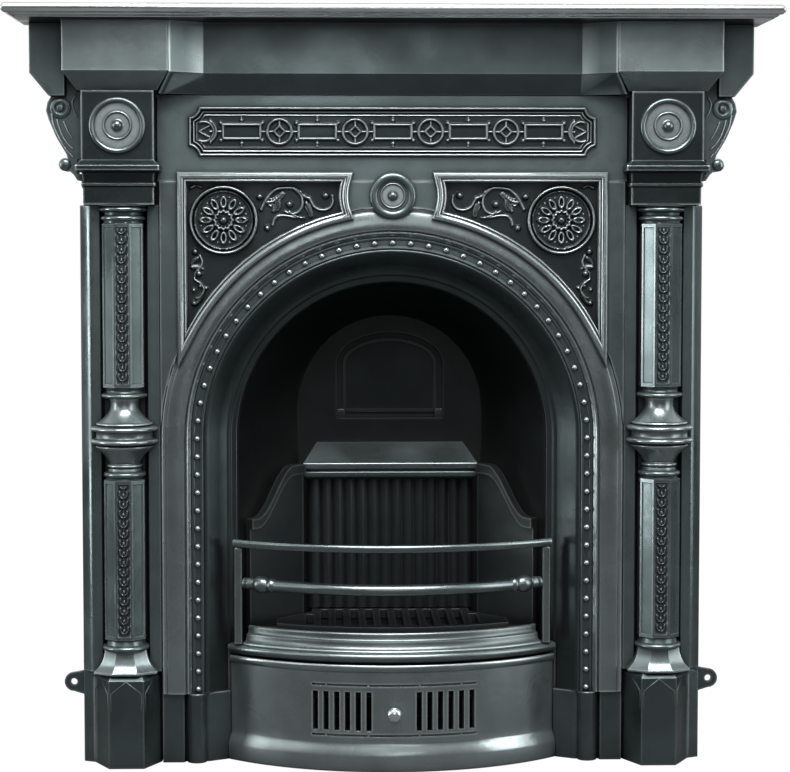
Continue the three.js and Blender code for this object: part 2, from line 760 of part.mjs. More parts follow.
// Carved panel: a rosette, leafy scrolls and berries on a thin ground.
function spandrelCarving(side) {
  const ground = SUNK - GAP;
  const plate = alongY(flipped(spandrelOutline(1.5), side), ground - 1.5, ground);
  const rosette = boss(
    [
      [0, 0],
      [ROSETTE_RADIUS, 0],
      [ROSETTE_RADIUS, 5],
      [42, 8.5],
      [38.5, 8.5],
      [36, 5],
      [29, 5],
      [26, 8],
      [15, 6.5],
      [12, 9],
      [8, 6],
      [5.5, 9.5],
      [0, 11],
    ],
    side * ROSETTE_X,
    ROSETTE_Z,
    ground,
    16,
  );
  const scroll = (cx, cz, radius, from, turn) => {
    const points = Array.from({ length: 9 }, (_, i) => {
      const t = i / 8;
      const angle = from + turn * t;
      const r = radius * (1 - 0.55 * t);
      return new THREE.Vector3(side * (cx + r * Math.cos(angle)), ground - 3, cz + r * Math.sin(angle));
    });
    return rod(new THREE.CatmullRomCurve3(points), 3, 8, 4);
  };
  const berry = (x, z) => boss([[0, 0], [4, 0], [3, 7], [0, 8]], side * x, z, ground, 6);
  return joined([
    plate,
    rosette,
    scroll(140, 722, 19, 3.3, -4.4),
    scroll(99, 727, 17, 2.9, 4.2),
    scroll(152, 686, 14, 2.6, -3.6),
    scroll(247, 632, 13, 1.2, 3.9),
    scroll(245, 600, 11, 2.0, -3.6),
    berry(167, 731),
    berry(131, 721),
    berry(85, 733),
    berry(251, 659),
    berry(245, 631),
    berry(252, 595),
  ]);
}

function beadRing() {
  const face = 20;
  const section = [
    [REVEAL_RADIUS + GAP, 14],
    [REVEAL_RADIUS + GAP, face - 1.5],
    [REVEAL_RADIUS + 2, face],
    [BAND_INNER - 2, face],
    [BAND_INNER - GAP, face - 1.5],
    [BAND_INNER - GAP, 14],
  ];
  const pitch = (Math.PI * BEAD_RADIUS) / (BEADS_ON_ARCH + 1);
  const bead = (x, z) => boss([[0, 0], [4, 0], [2.6, 3.8], [0, 4.2]], x, z, -face + 0.4, 5);
  const beads = [];
  for (let i = 1; i <= BEADS_ON_ARCH; i++) {
    const angle = (Math.PI * i) / (BEADS_ON_ARCH + 1);
    beads.push(bead(BEAD_RADIUS * Math.cos(angle), ARCH_Z + BEAD_RADIUS * Math.sin(angle)));
  }
  for (let i = 0; i < BEADS_ON_LEG - 1; i++) {
    beads.push(bead(-BEAD_RADIUS, ARCH_Z - i * pitch), bead(BEAD_RADIUS, ARCH_Z - i * pitch));
  }
  return joined([carry(section, archStations(FOOT_HEIGHT + GAP)), ...beads]);
}

// The splayed arch that leads in to the fire, with two fine steps at its inner edge.
function reveal() {
  const section = [
    [REVEAL_RADIUS, 14],
    [REVEAL_RADIUS, 19],
    [238, 20],
    [214, -4],
    [210, -4],
    [207, -8],
    [202, -8],
    [OPENING_RADIUS, -10],
    [OPENING_RADIUS, -CASING_FRONT],
    [217, -CASING_FRONT],
  ];
  return carry(section, archStations(FOOT_HEIGHT + GAP));
}

// ---- Firebox ----
// An arched band: half-width, springing height, foot and thickness.
function archedBand(half, spring, thickness, low = 0) {
  const outer = half + thickness;
  return [
    [outer, low],
    ...arcPoints(0, spring, outer, 0, Math.PI, 18),
    [-outer, low],
    [-half, low],
    ...arcPoints(0, spring, half, Math.PI, 0, 18),
    [half, low],
  ];
}

const casing = () =>
  stackY([
    [CASING_FRONT + GAP, archedBand(OPENING_RADIUS, ARCH_Z, CASING_WALL)],
    [CASING_BACK, archedBand(CASING_BACK_HALF, CASING_BACK_SPRING, CASING_WALL)],
  ]);

const FLUE_HALF = 71;
const FLUE_LOW = 436;
const FLUE_HIGH = 551;
const FLAP_LAP = 4; // the flap is larger than the opening, and shuts against the back of the plate
const FLAP_FRONT = 119.7;
const FLAP_THICKNESS = 3.8;
const PIN_Z = FLUE_LOW + 1;
const PIN_Y = 124.2;
const PIN_RADIUS = 2.2;
const PIN_HALF = 74;
const EAR_INNER = 67.5;

// The flue opening: straight sides under an elliptical head, set in by a margin.
function flueOutline(inset, low = FLUE_LOW + inset) {
  const half = FLUE_HALF - inset;
  const rise = 42;
  const head = Array.from({ length: 13 }, (_, i) => {
    const angle = (Math.PI * i) / 12;
    return [half * Math.cos(angle), FLUE_HIGH - rise + (rise - inset) * Math.sin(angle)];
  });
  return [[-half, low], [half, low], ...head];
}

// Upper and lower back of the firebox, in one plate, with the flue opening in it.
function fireback() {
  const outer = CASING_BACK_HALF + CASING_WALL;
  const face = [[outer, 0], ...arcPoints(0, CASING_BACK_SPRING, outer, 0, Math.PI, 18), [-outer, 0]];
  return alongY(face, CASING_BACK + GAP, CASING_BACK + GAP + 5, [flueOutline(0)]);
}

function crossRod(radius, half) {
  const upright = new THREE.CylinderGeometry(radius, radius, 2 * half, 12);
  return solid(upright.rotateZ(Math.PI / 2).translate(0, PIN_Y, PIN_Z));
}

// Frame bolted behind the flue opening; its two ears hold the flap's pin.
function flueFrame() {
  const front = CASING_BACK + 2 * GAP + 5;
  const outer = FLUE_HALF + 16;
  const face = rectangle(-outer, outer, FLUE_LOW - 16, FLUE_HIGH + 14);
  const ring = alongY(face, front, REACH, [flueOutline(-FLAP_LAP - 2)]);
  const ears = Object.values(SIDES).map((side) =>
    block(side * EAR_INNER, side * (FLUE_HALF + 8), front, REACH - 1, FLUE_LOW - 8, PIN_Z + 6),
  );
  return cut(joined([ring, ...ears]), [crossRod(PIN_RADIUS + GAP, PIN_HALF + 1)]);
}

// The register flap shuts against the plate, and tips back on a pin along its foot.
function damperFlap() {
  const plate = alongY(flueOutline(-FLAP_LAP, PIN_Z), FLAP_FRONT, FLAP_FRONT + FLAP_THICKNESS);
  const raised = alongY(flueOutline(8), FLAP_FRONT - 2.5, FLAP_FRONT + 1, [flueOutline(12)]);
  const barrel = crossRod(4.4, EAR_INNER - 1);
  const corners = Object.values(SIDES).map((side) =>
    block(side * (EAR_INNER - 1), side * 90, FLAP_FRONT - 5, REACH, FLUE_LOW - 20, PIN_Z + 9),
  );
  return cut(joined([plate, raised, barrel]), [...corners, crossRod(PIN_RADIUS + GAP, PIN_HALF)]);
}

const flapPin = () => crossRod(PIN_RADIUS, PIN_HALF);

const LEDGE_HALF = 116;
const LEDGE_LOW = 356;

// The moulded hob across the back of the fire, hipped up to the flue.
function backLedge() {
  const back = CASING_BACK - 1;
  const plan = (half, front) => [[-half, back], [-half, front], [half, front], [half, back]];
  return stack([
    [LEDGE_LOW, plan(LEDGE_HALF - 5, 88)],
    [LEDGE_LOW + 4, plan(LEDGE_HALF - 1, 83)],
    [LEDGE_LOW + 10, plan(LEDGE_HALF - 1, 81)],
    [LEDGE_LOW + 12, plan(LEDGE_HALF - 3, 84)],
    [LEDGE_LOW + 15, plan(LEDGE_HALF, 79)],
    [LEDGE_LOW + 22, plan(LEDGE_HALF, 79)],
    [LEDGE_LOW + 24, plan(LEDGE_HALF - 1, 82)],
    [404, plan(98, back - 4)],
  ]);
}

const RIB_COUNT = 14;

// The back brick, with upright reeds.
function reededBack() {
  const half = 110;
  const [back, valley, crest] = [CASING_BACK - 1, 103, 98.5];
  const pitch = (2 * half) / RIB_COUNT;
  const plan = [[-half, back]];
  for (let i = 0; i < RIB_COUNT; i++) {
    const x = -half + i * pitch;
    plan.push([x, valley], [x + pitch * 0.25, crest + 1], [x + pitch * 0.5, crest], [x + pitch * 0.75, crest + 1]);
  }
  plan.push([half, valley], [half, back]);
  return alongZ(plan, GRATE_TOP + GAP, LEDGE_LOW - GAP);
}

// A side cheek stands on the bearer beside the grate. Its top edge falls forward in an S.
function cheek(side) {
  const front = new THREE.Vector3(190, 20, 0);
  const back = new THREE.Vector3(118, 84, 0);
  const along = back.clone().sub(front);
  const length = along.length() - 4; // clear of the hob's corner
  along.normalize();
  const inward = new THREE.Vector3(-along.y, along.x, 0);
  const upward = new THREE.Vector3(0, 0, 1);
  const [low, foreTop, backTop] = [BEARER_TOP + GAP, 312, 378];
  const steps = 12;
  const crest = Array.from({ length: steps + 1 }, (_, i) => {
    const t = i / steps;
    const rise = (1 - Math.cos(Math.PI * Math.min(1, Math.max(0, (t - 0.1) / 0.7)))) / 2;
    return [t * length, foreTop + (backTop - foreTop) * rise];
  });
  const wall = [[0, low], [length, low], ...[...crest].reverse()];
  const bead = [...crest.map(([s, z]) => [s, z - 13]), ...[...crest].reverse()];
  const place = new THREE.Matrix4().makeBasis(along, upward, inward).setPosition(front);
  const piece = (outline, thickness) => solid(prism(outline, thickness).applyMatrix4(place).scale(side, 1, 1));
  return piece(wall, 8).add(piece(bead, 13));
}

const BAR_COUNT = 13;
const BAR_PITCH = 19.5;

// The loose bottom grate: bars run front to back, and its front follows the bow.
function bottomGrate() {
  const [frontHalf, backHalf, frontY, sideY, backY] = [150, 105, 18, 70, 97];
  const bowed = (x) => bowY(x) + 24;
  const steps = 9; // an odd count, so that no point lies on the middle line
  const front = Array.from({ length: steps + 1 }, (_, i) => {
    const x = -frontHalf + (2 * frontHalf * i) / steps;
    return [x, bowed(x)];
  });
  const plan = [
    ...front,
    [frontHalf, frontY],
    [backHalf, sideY],
    [backHalf, backY],
    [-backHalf, backY],
    [-backHalf, sideY],
    [-frontHalf, frontY],
  ];
  const gaps = [];
  for (let i = 0; i + 1 < BAR_COUNT; i++) {
    const x = (i - (BAR_COUNT - 2) / 2) * BAR_PITCH;
    const half = 5;
    const reach = Math.abs(x) + half > backHalf - 9 ? sideY - 20 : backY - 9;
    gaps.push(block(x - half, x + half, bowed(x) + 12, reach, 0, GRATE_TOP + 1));
  }
  return cut(alongZ(plan, GRATE_TOP - GRATE_THICKNESS, GRATE_TOP), gaps);
}

// Bearer under the grate: a frame between the casing walls.
function grateBearer() {
  const ring = (inset) => [
    [-185 + inset, 22 + inset],
    [185 - inset, 22 + inset],
    [122 - inset, 106 - inset],
    [-122 + inset, 106 - inset],
  ];
  return alongZ(ring(0), BEARER_TOP - 14, BEARER_TOP, [ring(16)]);
}

// ---- Front bars ----
const POST_X = 199.5;
const POST_Y = -11;
const POST_SIZE = 10;
const POST_LOW = 152.8;
const POST_HIGH = 279;
const TOP_BAR_Z = 286;
const TURNED_BAR_Z = 232;

function post(side) {
  const plan = (half) => [
    [side * POST_X - half, POST_Y - half],
    [side * POST_X + half, POST_Y - half],
    [side * POST_X + half, POST_Y + half],
    [side * POST_X - half, POST_Y + half],
  ];
  const half = POST_SIZE / 2;
  return stack([
    [POST_LOW, plan(half)],
    [POST_HIGH - 3, plan(half)],
    [POST_HIGH, plan(half - 1.5)],
  ]);
}

// A bowed path between the posts, with its own rise towards the room.
function barCurve(half, ends, bow, z) {
  const points = Array.from({ length: 17 }, (_, i) => {
    const t = -1 + i / 8;
    return new THREE.Vector3(half * t, ends - bow * (1 - t * t), z);
  });
  return new THREE.CatmullRomCurve3(points);
}

function topBar() {
  const stations = Array.from({ length: 19 }, (_, i) => {
    const t = -1 + i / 9;
    return {
      at: new THREE.Vector3((POST_X + 5) * t, POST_Y - 64 * (1 - t * t), 0),
      out: new THREE.Vector3(0, -1, 0),
      up: new THREE.Vector3(0, 0, 1),
    };
  });
  const [low, high] = [POST_HIGH + GAP, POST_HIGH + 10];
  return carry([[-4, low], [4, low], [5, low + 2], [5, high - 2], [3, high], [-3, high], [-4, high - 2]], stations);
}

// The turned lower bar: a bowed rod that swells at its middle, with knobs by the posts.
function turnedBar() {
  const half = POST_X - POST_SIZE / 2 - 4;
  const curve = barCurve(half, POST_Y, 70, TURNED_BAR_Z);
  const knobs = [[0.96, 7], [0.89, 10.5], [0.82, 8.5]].flatMap(([t, radius]) =>
    [-t, t].map((place) => {
      const at = curve.getPointAt((place + 1) / 2);
      return solid(new THREE.SphereGeometry(radius, 7, 4).translate(at.x, at.y, at.z));
    }),
  );
  const tenons = Object.values(SIDES).map((side) =>
    block(side * (half - 6), side * (half + 3.7), POST_Y - 4, POST_Y + 4, TURNED_BAR_Z - 4, TURNED_BAR_Z + 4),
  );
  return joined([rod(curve, 7.5, 14, 8), ...knobs, ...tenons]);
}

// ---- Apron rail, ash pan cover and air slider ----
// The rail over the cover. It carries the posts, and the front of the grate on a shelf inside it.
function apronRail() {
  const section = [
    [-14, 139.5],
    [1, 139.5],
    [4, 142],
    [6, 146],
    [5, 150],
    [1, 152.5],
    [-3, 156],
    [-7, 163],
    [-9, 168],
    [-9, 173],
    [-11, 176],
    [-14, 176],
  ];
  const rail = carry(section, bowStations(COVER_HALF, 20));
  const shelf = [[-34, BEARER_TOP - 6], [-13, BEARER_TOP - 6], [-13, BEARER_TOP], [-34, BEARER_TOP]];
  const grateShelf = carry(shelf, bowStations(150, 14));
  const seats = Object.values(SIDES).map((side) =>
    block(side * (POST_X - 6), side * (POST_X + 14), -40, 20, POST_LOW - GAP, 180),
  );
  return cut(rail.add(grateShelf), seats);
}

const slotPlaces = () =>
  [-1, 1].flatMap((side) => Array.from({ length: SLOT_COUNT }, (_, i) => side * (SLOT_FIRST + i * SLOT_PITCH)));

// A round-topped slot cutter that points out of the bow at a place along it.
function slotCutter(x, width, low, high) {
  const half = width / 2;
  const face = [[-half, low], [half, low], ...arcPoints(0, high - half, half, 0, Math.PI, 4)];
  const turn = Math.asin(x / BOW_RADIUS);
  return solid(
    prism(face, 40)
      .rotateX(Math.PI / 2)
      .translate(0, -BOW_RADIUS + 20, 0)
      .rotateZ(turn)
      .translate(0, BOW_CENTRE_Y, 0),
  );
}

const STEM_RADIUS = 2;

function ashCover() {
  const section = [
    [-COVER_THICKNESS, 0.5],
    [5, 0.5],
    [5, 22],
    [4, 27],
    [1, 32],
    [0, 36],
    [0, 127],
    [2.5, 129],
    [3, 133],
    [2, COVER_TOP],
    [-COVER_THICKNESS, COVER_TOP],
  ];
  const shell = carry(section, bowStations(COVER_HALF, 20));
  const [guideBack, guideFront] = [-COVER_THICKNESS - 4, -COVER_THICKNESS + 1];
  const guide = (low, high) =>
    carry([[guideBack, low], [guideFront, low], [guideFront, high], [guideBack, high]], bowStations(120, 10));
  const cutters = slotPlaces().map((x) => slotCutter(x, SLOT_WIDTH, SLOT_LOW, SLOT_HIGH));
  const slotHalf = SLOT_WIDTH + STEM_RADIUS + 0.5; // the knob travels one slot's width each way
  const slotRise = STEM_RADIUS + 0.6;
  const stemSlot = block(-slotHalf, slotHalf, -BOW - 10, -BOW + 20, KNOB_Z - slotRise, KNOB_Z + slotRise);
  return cut(joined([shell, guide(38, 41.5), guide(112.5, 116)]), [...cutters, stemSlot]);
}

// The slider lies in the guides behind the cover and shuts its slots when it is moved along.
function airSlider() {
  const [outer, inner] = [-COVER_THICKNESS - 0.6, -COVER_THICKNESS - 3.4];
  const section = [[inner, 42], [outer, 42], [outer, 112], [inner, 112]];
  const band = carry(section, bowStations(108, 12));
  const cutters = slotPlaces().map((x) => slotCutter(x, SLOT_WIDTH, SLOT_LOW - 1, SLOT_HIGH + 1));
  const stemHole = slotCutter(0, 2 * (STEM_RADIUS + GAP), KNOB_Z - STEM_RADIUS - GAP, KNOB_Z + STEM_RADIUS + GAP);
  return cut(band, [...cutters, stemHole]);
}

const sliderKnob = () =>
  boss(
    [
      [0, -12],
      [STEM_RADIUS, -12],
      [STEM_RADIUS, 1],
      [5, 1],
      [5.5, 4],
      [9, 8],
      [9.4, 12],
      [8, 16],
      [4, 18.5],
      [0, 19],
    ],
    0,
    KNOB_Z,
    -BOW,
    16,
  );

// ---- Ash pan ----
const PAN_HALF = 118;
const PAN_FRONT = -34;
const PAN_BACK = 96;
const PAN_LOW = 3;
const PAN_HIGH = 62;
const PAN_WALL = 3;

function ashPan() {
  const plan = (inset) => [
    [-PAN_HALF + inset, PAN_FRONT + inset],
    [PAN_HALF - inset, PAN_FRONT + inset],
    [PAN_HALF - inset, PAN_BACK - inset],
    [-PAN_HALF + inset, PAN_BACK - inset],
  ];
  return alongZ(plan(0), PAN_LOW, PAN_HIGH).subtract(alongZ(plan(PAN_WALL), PAN_LOW + PAN_WALL, PAN_HIGH + 1));
}

function panHandle() {
  const [half, out, z, back] = [30, 20, 44, PAN_FRONT - GAP];
  const points = [
    [-half, back],
    [-half, back - out * 0.7],
    [-half * 0.7, back - out],
    [half * 0.7, back - out],
    [half, back - out * 0.7],
    [half, back],
  ];
  const curve = new THREE.CatmullRomCurve3(points.map(([x, y]) => new THREE.Vector3(x, y, z)), false, "centripetal");
  return rod(curve, 3.5, 18, 8);
}

// ---- The assembly ----
const fireplace = new THREE.Group();

function place(name, shape, material) {
  const { numProp, vertProperties, triVerts } = shape.getMesh();
  const positions = new Float32Array((vertProperties.length / numProp) * 3);
  for (let i = 0; i * numProp < vertProperties.length; i++) {
    positions.set(vertProperties.subarray(i * numProp, i * numProp + 3), i * 3);
  }
  const geometry = new THREE.BufferGeometry();
  geometry.setAttribute("position", new THREE.BufferAttribute(positions, 3));
  geometry.setIndex(new THREE.BufferAttribute(triVerts, 1));
  geometry.computeVertexNormals();
  const mesh = new THREE.Mesh(geometry, material);
  mesh.name = name;
  fireplace.add(mesh);
}

place("mantel_shelf", mantelShelf(), POLISHED_IRON);
place("frieze_box", friezeBox(), BLACKED_IRON);
place("frieze_plate", friezePlate(), BLACKED_IRON);
place("fret_panel", fretPanel(), BLACKED_IRON);
place("centre_medallion", centreMedallion(), BLACKED_IRON);
place("arch_band", archBand(), BLACKED_IRON);
place("bead_ring", beadRing(), BLACKED_IRON);
place("reveal", reveal(), BLACKED_IRON);

const PAIRS = [
  ["shelf_bolt", shelfBolt, BLACKED_IRON],
  ["bracket", bracket, BLACKED_IRON],
  ["wing", wing, BLACKED_IRON],
  ["cap_block", capBlock, BLACKED_IRON],
  ["cap_roundel", capRoundel, BLACKED_IRON],
  ["console", scrollConsole, BLACKED_IRON],
  ["jamb", jamb, BLACKED_IRON],
  ["upper_shaft", upperShaft, BLACKED_IRON],
  ["knop", knop, POLISHED_IRON],
  ["lower_shaft", lowerShaft, BLACKED_IRON],
  ["plinth", plinth, BLACKED_IRON],
  ["foot", foot, BLACKED_IRON],
  ["spandrel_plate", spandrelPlate, BLACKED_IRON],
  ["spandrel_frame", spandrelFrame, POLISHED_IRON],
  ["spandrel_carving", spandrelCarving, BLACKED_IRON],
  ["cheek", cheek, SOOTED_IRON],
  ["post", post, POLISHED_IRON],
];
for (const [name, make, material] of PAIRS) {
  for (const [word, side] of Object.entries(SIDES)) place(name + "_" + word, make(side), material);
}

place("casing", casing(), SOOTED_IRON);
place("fireback", fireback(), SOOTED_IRON);
place("flue_frame", flueFrame(), SOOTED_IRON);
place("damper_flap", damperFlap(), SOOTED_IRON);
place("flap_pin", flapPin(), SOOTED_IRON);
place("back_ledge", backLedge(), SOOTED_IRON);
place("reeded_back", reededBack(), SOOTED_IRON);
place("grate_bearer", grateBearer(), SOOTED_IRON);
place("bottom_grate", bottomGrate(), SOOTED_IRON);
place("top_bar", topBar(), POLISHED_IRON);
place("turned_bar", turnedBar(), POLISHED_IRON);
place("apron_rail", apronRail(), POLISHED_IRON);
place("ash_cover", ashCover(), POLISHED_IRON);
place("air_slider", airSlider(), SOOTED_IRON);
place("slider_knob", sliderKnob(), POLISHED_IRON);
place("ash_pan", ashPan(), SOOTED_IRON);
place("pan_handle", panHandle(), SOOTED_IRON);

export default fireplace;
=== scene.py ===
"""Dresses a cast iron fireplace: fine castings and carving, black-leaded and burnished finishes, a studio.

Sizes are in millimetres, and make_piece turns them into metres. X runs across the fireplace, -Y points into
the room and +Z points up. The wall plane is Y = 0 and the floor is Z = 0.
"""

from __future__ import annotations

import json
import logging
import math
from dataclasses import dataclass
from enum import Enum

import bmesh
import bpy
import numpy as np
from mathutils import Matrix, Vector


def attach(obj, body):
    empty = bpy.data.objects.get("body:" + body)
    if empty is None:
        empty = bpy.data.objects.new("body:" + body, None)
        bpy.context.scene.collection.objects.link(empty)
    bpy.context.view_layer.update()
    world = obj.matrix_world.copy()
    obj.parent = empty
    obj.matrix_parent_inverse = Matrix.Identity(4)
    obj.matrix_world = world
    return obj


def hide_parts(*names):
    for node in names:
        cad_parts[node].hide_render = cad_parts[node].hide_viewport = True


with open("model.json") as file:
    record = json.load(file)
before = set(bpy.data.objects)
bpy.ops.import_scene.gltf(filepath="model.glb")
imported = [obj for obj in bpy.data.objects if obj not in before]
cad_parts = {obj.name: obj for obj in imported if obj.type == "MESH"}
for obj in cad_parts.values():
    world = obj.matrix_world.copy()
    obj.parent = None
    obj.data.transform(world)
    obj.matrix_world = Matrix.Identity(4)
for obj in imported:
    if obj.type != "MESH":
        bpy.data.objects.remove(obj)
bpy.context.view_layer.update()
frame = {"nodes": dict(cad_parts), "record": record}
LOG = logging.getLogger("fireplace")
MM = 0.001
SQUARE = ((-1, -1), (1, -1), (1, 1), (-1, 1))
WELD = 2e-6  # metres within which points become one


class Side(Enum):
    """The two mirrored halves of the surround."""

    LEFT = -1
    RIGHT = 1

    @property
    def word(self) -> str:
        """The side's name as the nodes spell it."""
        return self.name.lower()


# ---- Shells: points in millimetres and the faces that join them ----
@dataclass
class Shell:
    """A mesh in the making.

    Args:
        points: n by 3 array, in millimetres.
        faces: tuples of point numbers.
    """

    points: np.ndarray
    faces: list

    def __add__(self, other: "Shell") -> "Shell":
        """Both shells in one, with the other's faces counted on from this one's points.

        Args:
            other: the shell to add.

        Returns:
            A new shell.
        """
        shift = len(self.points)
        moved = [tuple(i + shift for i in face) for face in other.faces]
        return Shell(np.vstack([self.points, other.points]), self.faces + moved)

    def mirrored(self, side: Side) -> "Shell":
        """The shell as made for the right side, or its mirror image for the left."""
        return Shell(self.points * np.array([side.value, 1, 1]), self.faces)


def joined(shells: list) -> Shell:
    """All the shells of a list in one."""
    return sum(shells[1:], shells[0])


def grid_shell(
    grid: np.ndarray, wrap_rows: bool = False, wrap_columns: bool = False, caps: bool = False
) -> Shell:
    """Joins a grid of points into four-sided faces: point (r, c) to its neighbours (r + 1, c) and (r, c + 1).

    Args:
        grid: rows by columns by 3 array.
        wrap_rows: the last row joins the first.
        wrap_columns: the last column joins the first.
        caps: the first and last rows are closed by a flat face each.

    Returns:
        The shell.
    """
    rows, columns = grid.shape[:2]
    r = np.arange(rows if wrap_rows else rows - 1)[:, None]
    c = np.arange(columns if wrap_columns else columns - 1)[None, :]
    low, high = r * columns, ((r + 1) % rows) * columns
    beside = (c + 1) % columns
    faces = np.stack([low + c, low + beside, high + beside, high + c], -1).reshape(-1, 4)
    made = [tuple(face) for face in faces.tolist()]
    if caps:
        made.append(tuple(range(columns)))
        made.append(tuple(range((rows - 1) * columns, rows * columns)))
    return Shell(grid.reshape(-1, 3), made)


def arc(centre: tuple, radius: float, start: float, end: float, steps: int = 12) -> np.ndarray:
    """Points on a circle: the centre plus the radius times cosine and sine of even angles, in degrees."""
    angles = np.radians(np.linspace(start, end, steps + 1))
    return np.column_stack([centre[0] + radius * np.cos(angles), centre[1] + radius * np.sin(angles)])


def mitred(path: np.ndarray, closed: bool) -> np.ndarray:
    """Outward directions along a flat path, long enough at each corner that an offset keeps its width.

    The direction at a point is the sum of the normals a and b of the two lines that meet there, over 1 + a.b.

    Args:
        path: n by 2 array of points.
        closed: the last point joins the first.

    Returns:
        n by 2 array, to the right of the way the path runs.
    """
    ahead = np.roll(path, -1, 0) - path
    if not closed:
        ahead[-1] = ahead[-2]
    behind = np.roll(ahead, 1, 0)
    if not closed:
        behind[0] = ahead[0]
    normals = []
    for run in (behind, ahead):
        unit = run / np.linalg.norm(run, axis=1, keepdims=True)
        normals.append(np.column_stack([unit[:, 1], -unit[:, 0]]))
    dot = (normals[0] * normals[1]).sum(1, keepdims=True)
    return (normals[0] + normals[1]) / (1 + dot)


def carry_face(profile: np.ndarray, path: np.ndarray, ground: float, closed: bool) -> Shell:
    """Carries a profile along a path on the front: point = path + offset times the mitred outward direction.

    Args:
        profile: closed outline of (offset, forward) pairs; forward is the distance in front of the ground.
        path: n by 2 array of (x, z).
        ground: y of the ground.
        closed: the path joins itself.

    Returns:
        A closed shell.
    """
    flat = path[:, None] + mitred(path, closed)[:, None] * profile[None, :, :1]
    depth = np.broadcast_to(ground - profile[None, :, 1:], flat.shape[:2] + (1,))
    grid = np.concatenate([flat[..., :1], depth, flat[..., 1:]], -1)
    return grid_shell(grid, wrap_rows=closed, wrap_columns=True, caps=not closed)


def turned_forward(profile: np.ndarray, centre: tuple, ground: float, sides: int = 72) -> Shell:
    """Turns a profile about a line into the room: x and z are the centre plus radius times cosine and sine.

    Args:
        profile: (radius, forward) pairs; the first and last are on the axis or close the back.
        centre: (x, z) of the axis.
        ground: y where forward is 0.
        sides: points round the circle.

    Returns:
        A closed shell.
    """
    angles = np.linspace(0, 2 * math.pi, sides, endpoint=False)
    radius, forward = profile[:, :1], profile[:, 1:]
    x = centre[0] + radius * np.cos(angles)
    z = centre[1] + radius * np.sin(angles)
    y = np.broadcast_to(ground - forward, x.shape)
    return grid_shell(np.stack([x, y, z], -1), wrap_columns=True)


def sheet(x: np.ndarray, z: np.ndarray, y: np.ndarray, keep: np.ndarray | None = None) -> Shell:
    """A relief: the surface y over a grid of x and z, of which only the cells with four kept corners stay.

    Args:
        x: rows by columns.
        z: rows by columns.
        y: rows by columns.
        keep: rows by columns of True and False, or None for all.

    Returns:
        An open shell, which make_piece closes at the back.
    """
    shell = grid_shell(np.stack([x, y, z], -1))
    if keep is None:
        return shell
    kept = keep.ravel()
    cells = np.array(shell.faces)
    return Shell(shell.points, [tuple(face) for face in cells[kept[cells].all(1)].tolist()])


def make_piece(
    name: str,
    shell: Shell,
    finish: "Iron",
    replaces: tuple = (),
    body: str = "surround",
    sharp: float = 38.0,
    back: float | None = None,
) -> bpy.types.Object:
    """Makes a finished piece, at the origin, from a shell.

    Args:
        name: the piece's name.
        shell: its points and faces.
        finish: its finish.
        replaces: the nodes that it stands for.
        body: the body that it rides on.
        sharp: edges that turn by more degrees than this stay sharp.
        back: y, in millimetres, of the flat back that closes an open relief.

    Returns:
        The object.
    """
    mesh = bpy.data.meshes.new(name)
    mesh.from_pydata((shell.points * MM).tolist(), [], shell.faces)
    form = bmesh.new()
    form.from_mesh(mesh)
    bmesh.ops.remove_doubles(form, verts=form.verts, dist=WELD)
    bmesh.ops.delete(form, geom=[v for v in form.verts if not v.link_faces], context="VERTS")
    if back is not None:
        rim = [edge for edge in form.edges if edge.is_boundary]
        walls = bmesh.ops.extrude_edge_only(form, edges=rim)["geom"]
        for vertex in (item for item in walls if isinstance(item, bmesh.types.BMVert)):
            vertex.co.y = back * MM
        bmesh.ops.holes_fill(form, edges=[edge for edge in form.edges if edge.is_boundary], sides=0)
    bmesh.ops.recalc_face_normals(form, faces=form.faces)
    form.to_mesh(mesh)
    form.free()
    mesh.shade_smooth()
    mesh.set_sharp_from_angle(angle=math.radians(sharp))
    made = bpy.data.objects.new(name, mesh)
    bpy.context.scene.collection.objects.link(made)
    mesh.materials.append(finish.material())
    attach(made, body)
    if replaces:
        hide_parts(*replaces)
    LOG.info("%s: %d faces, rides on %s", name, len(mesh.polygons), body)
    return made


def rounded_bar(low: tuple, high: tuple, radius: float = 1.5) -> Shell:
    """A bar with rounded arrises: a rounded rectangle in plan, drawn in by a quarter circle at each end.

    Args:
        low: its corner with the least x, y and z.
        high: the opposite corner.
        radius: of the rounding.

    Returns:
        A closed shell.
    """
    low, high = np.array(low, float), np.array(high, float)
    rows = []
    turn = np.radians(np.linspace(0, 90, 5))
    ends = [(low[2] + radius * (1 - math.sin(a)), radius * (1 - math.cos(a))) for a in turn[::-1]]
    ends += [(high[2] - radius * (1 - math.sin(a)), radius * (1 - math.cos(a))) for a in turn]
    for z, inset in ends:
        r = radius * 0.98
        (left, near), (right, far) = low[:2] + inset + r, high[:2] - inset - r
        corners = ((right, far, 0), (left, far, 90), (left, near, 180), (right, near, 270))
        plan = np.vstack([arc((x, y), r, start, start + 90, 4) for x, y, start in corners])
        rows.append(np.column_stack([plan, np.full(len(plan), z)]))
    return grid_shell(np.array(rows), wrap_columns=True, caps=True)


def along_curve(profile: np.ndarray, path: np.ndarray) -> Shell:
    """Carries a section (outward, up) along a level path, offset to the path's mitred right-hand side.

    Args:
        profile: closed outline, or one outline for each point of the path.
        path: n by 3 array.

    Returns:
        A closed shell.
    """
    sections = np.broadcast_to(profile, (len(path),) + profile.shape[-2:])
    side = mitred(path[:, :2], closed=False)
    flat = path[:, None, :2] + side[:, None] * sections[..., :1]
    up = path[:, None, 2:] + sections[..., 1:]
    return grid_shell(np.concatenate([flat, up], -1), wrap_columns=True, caps=True)


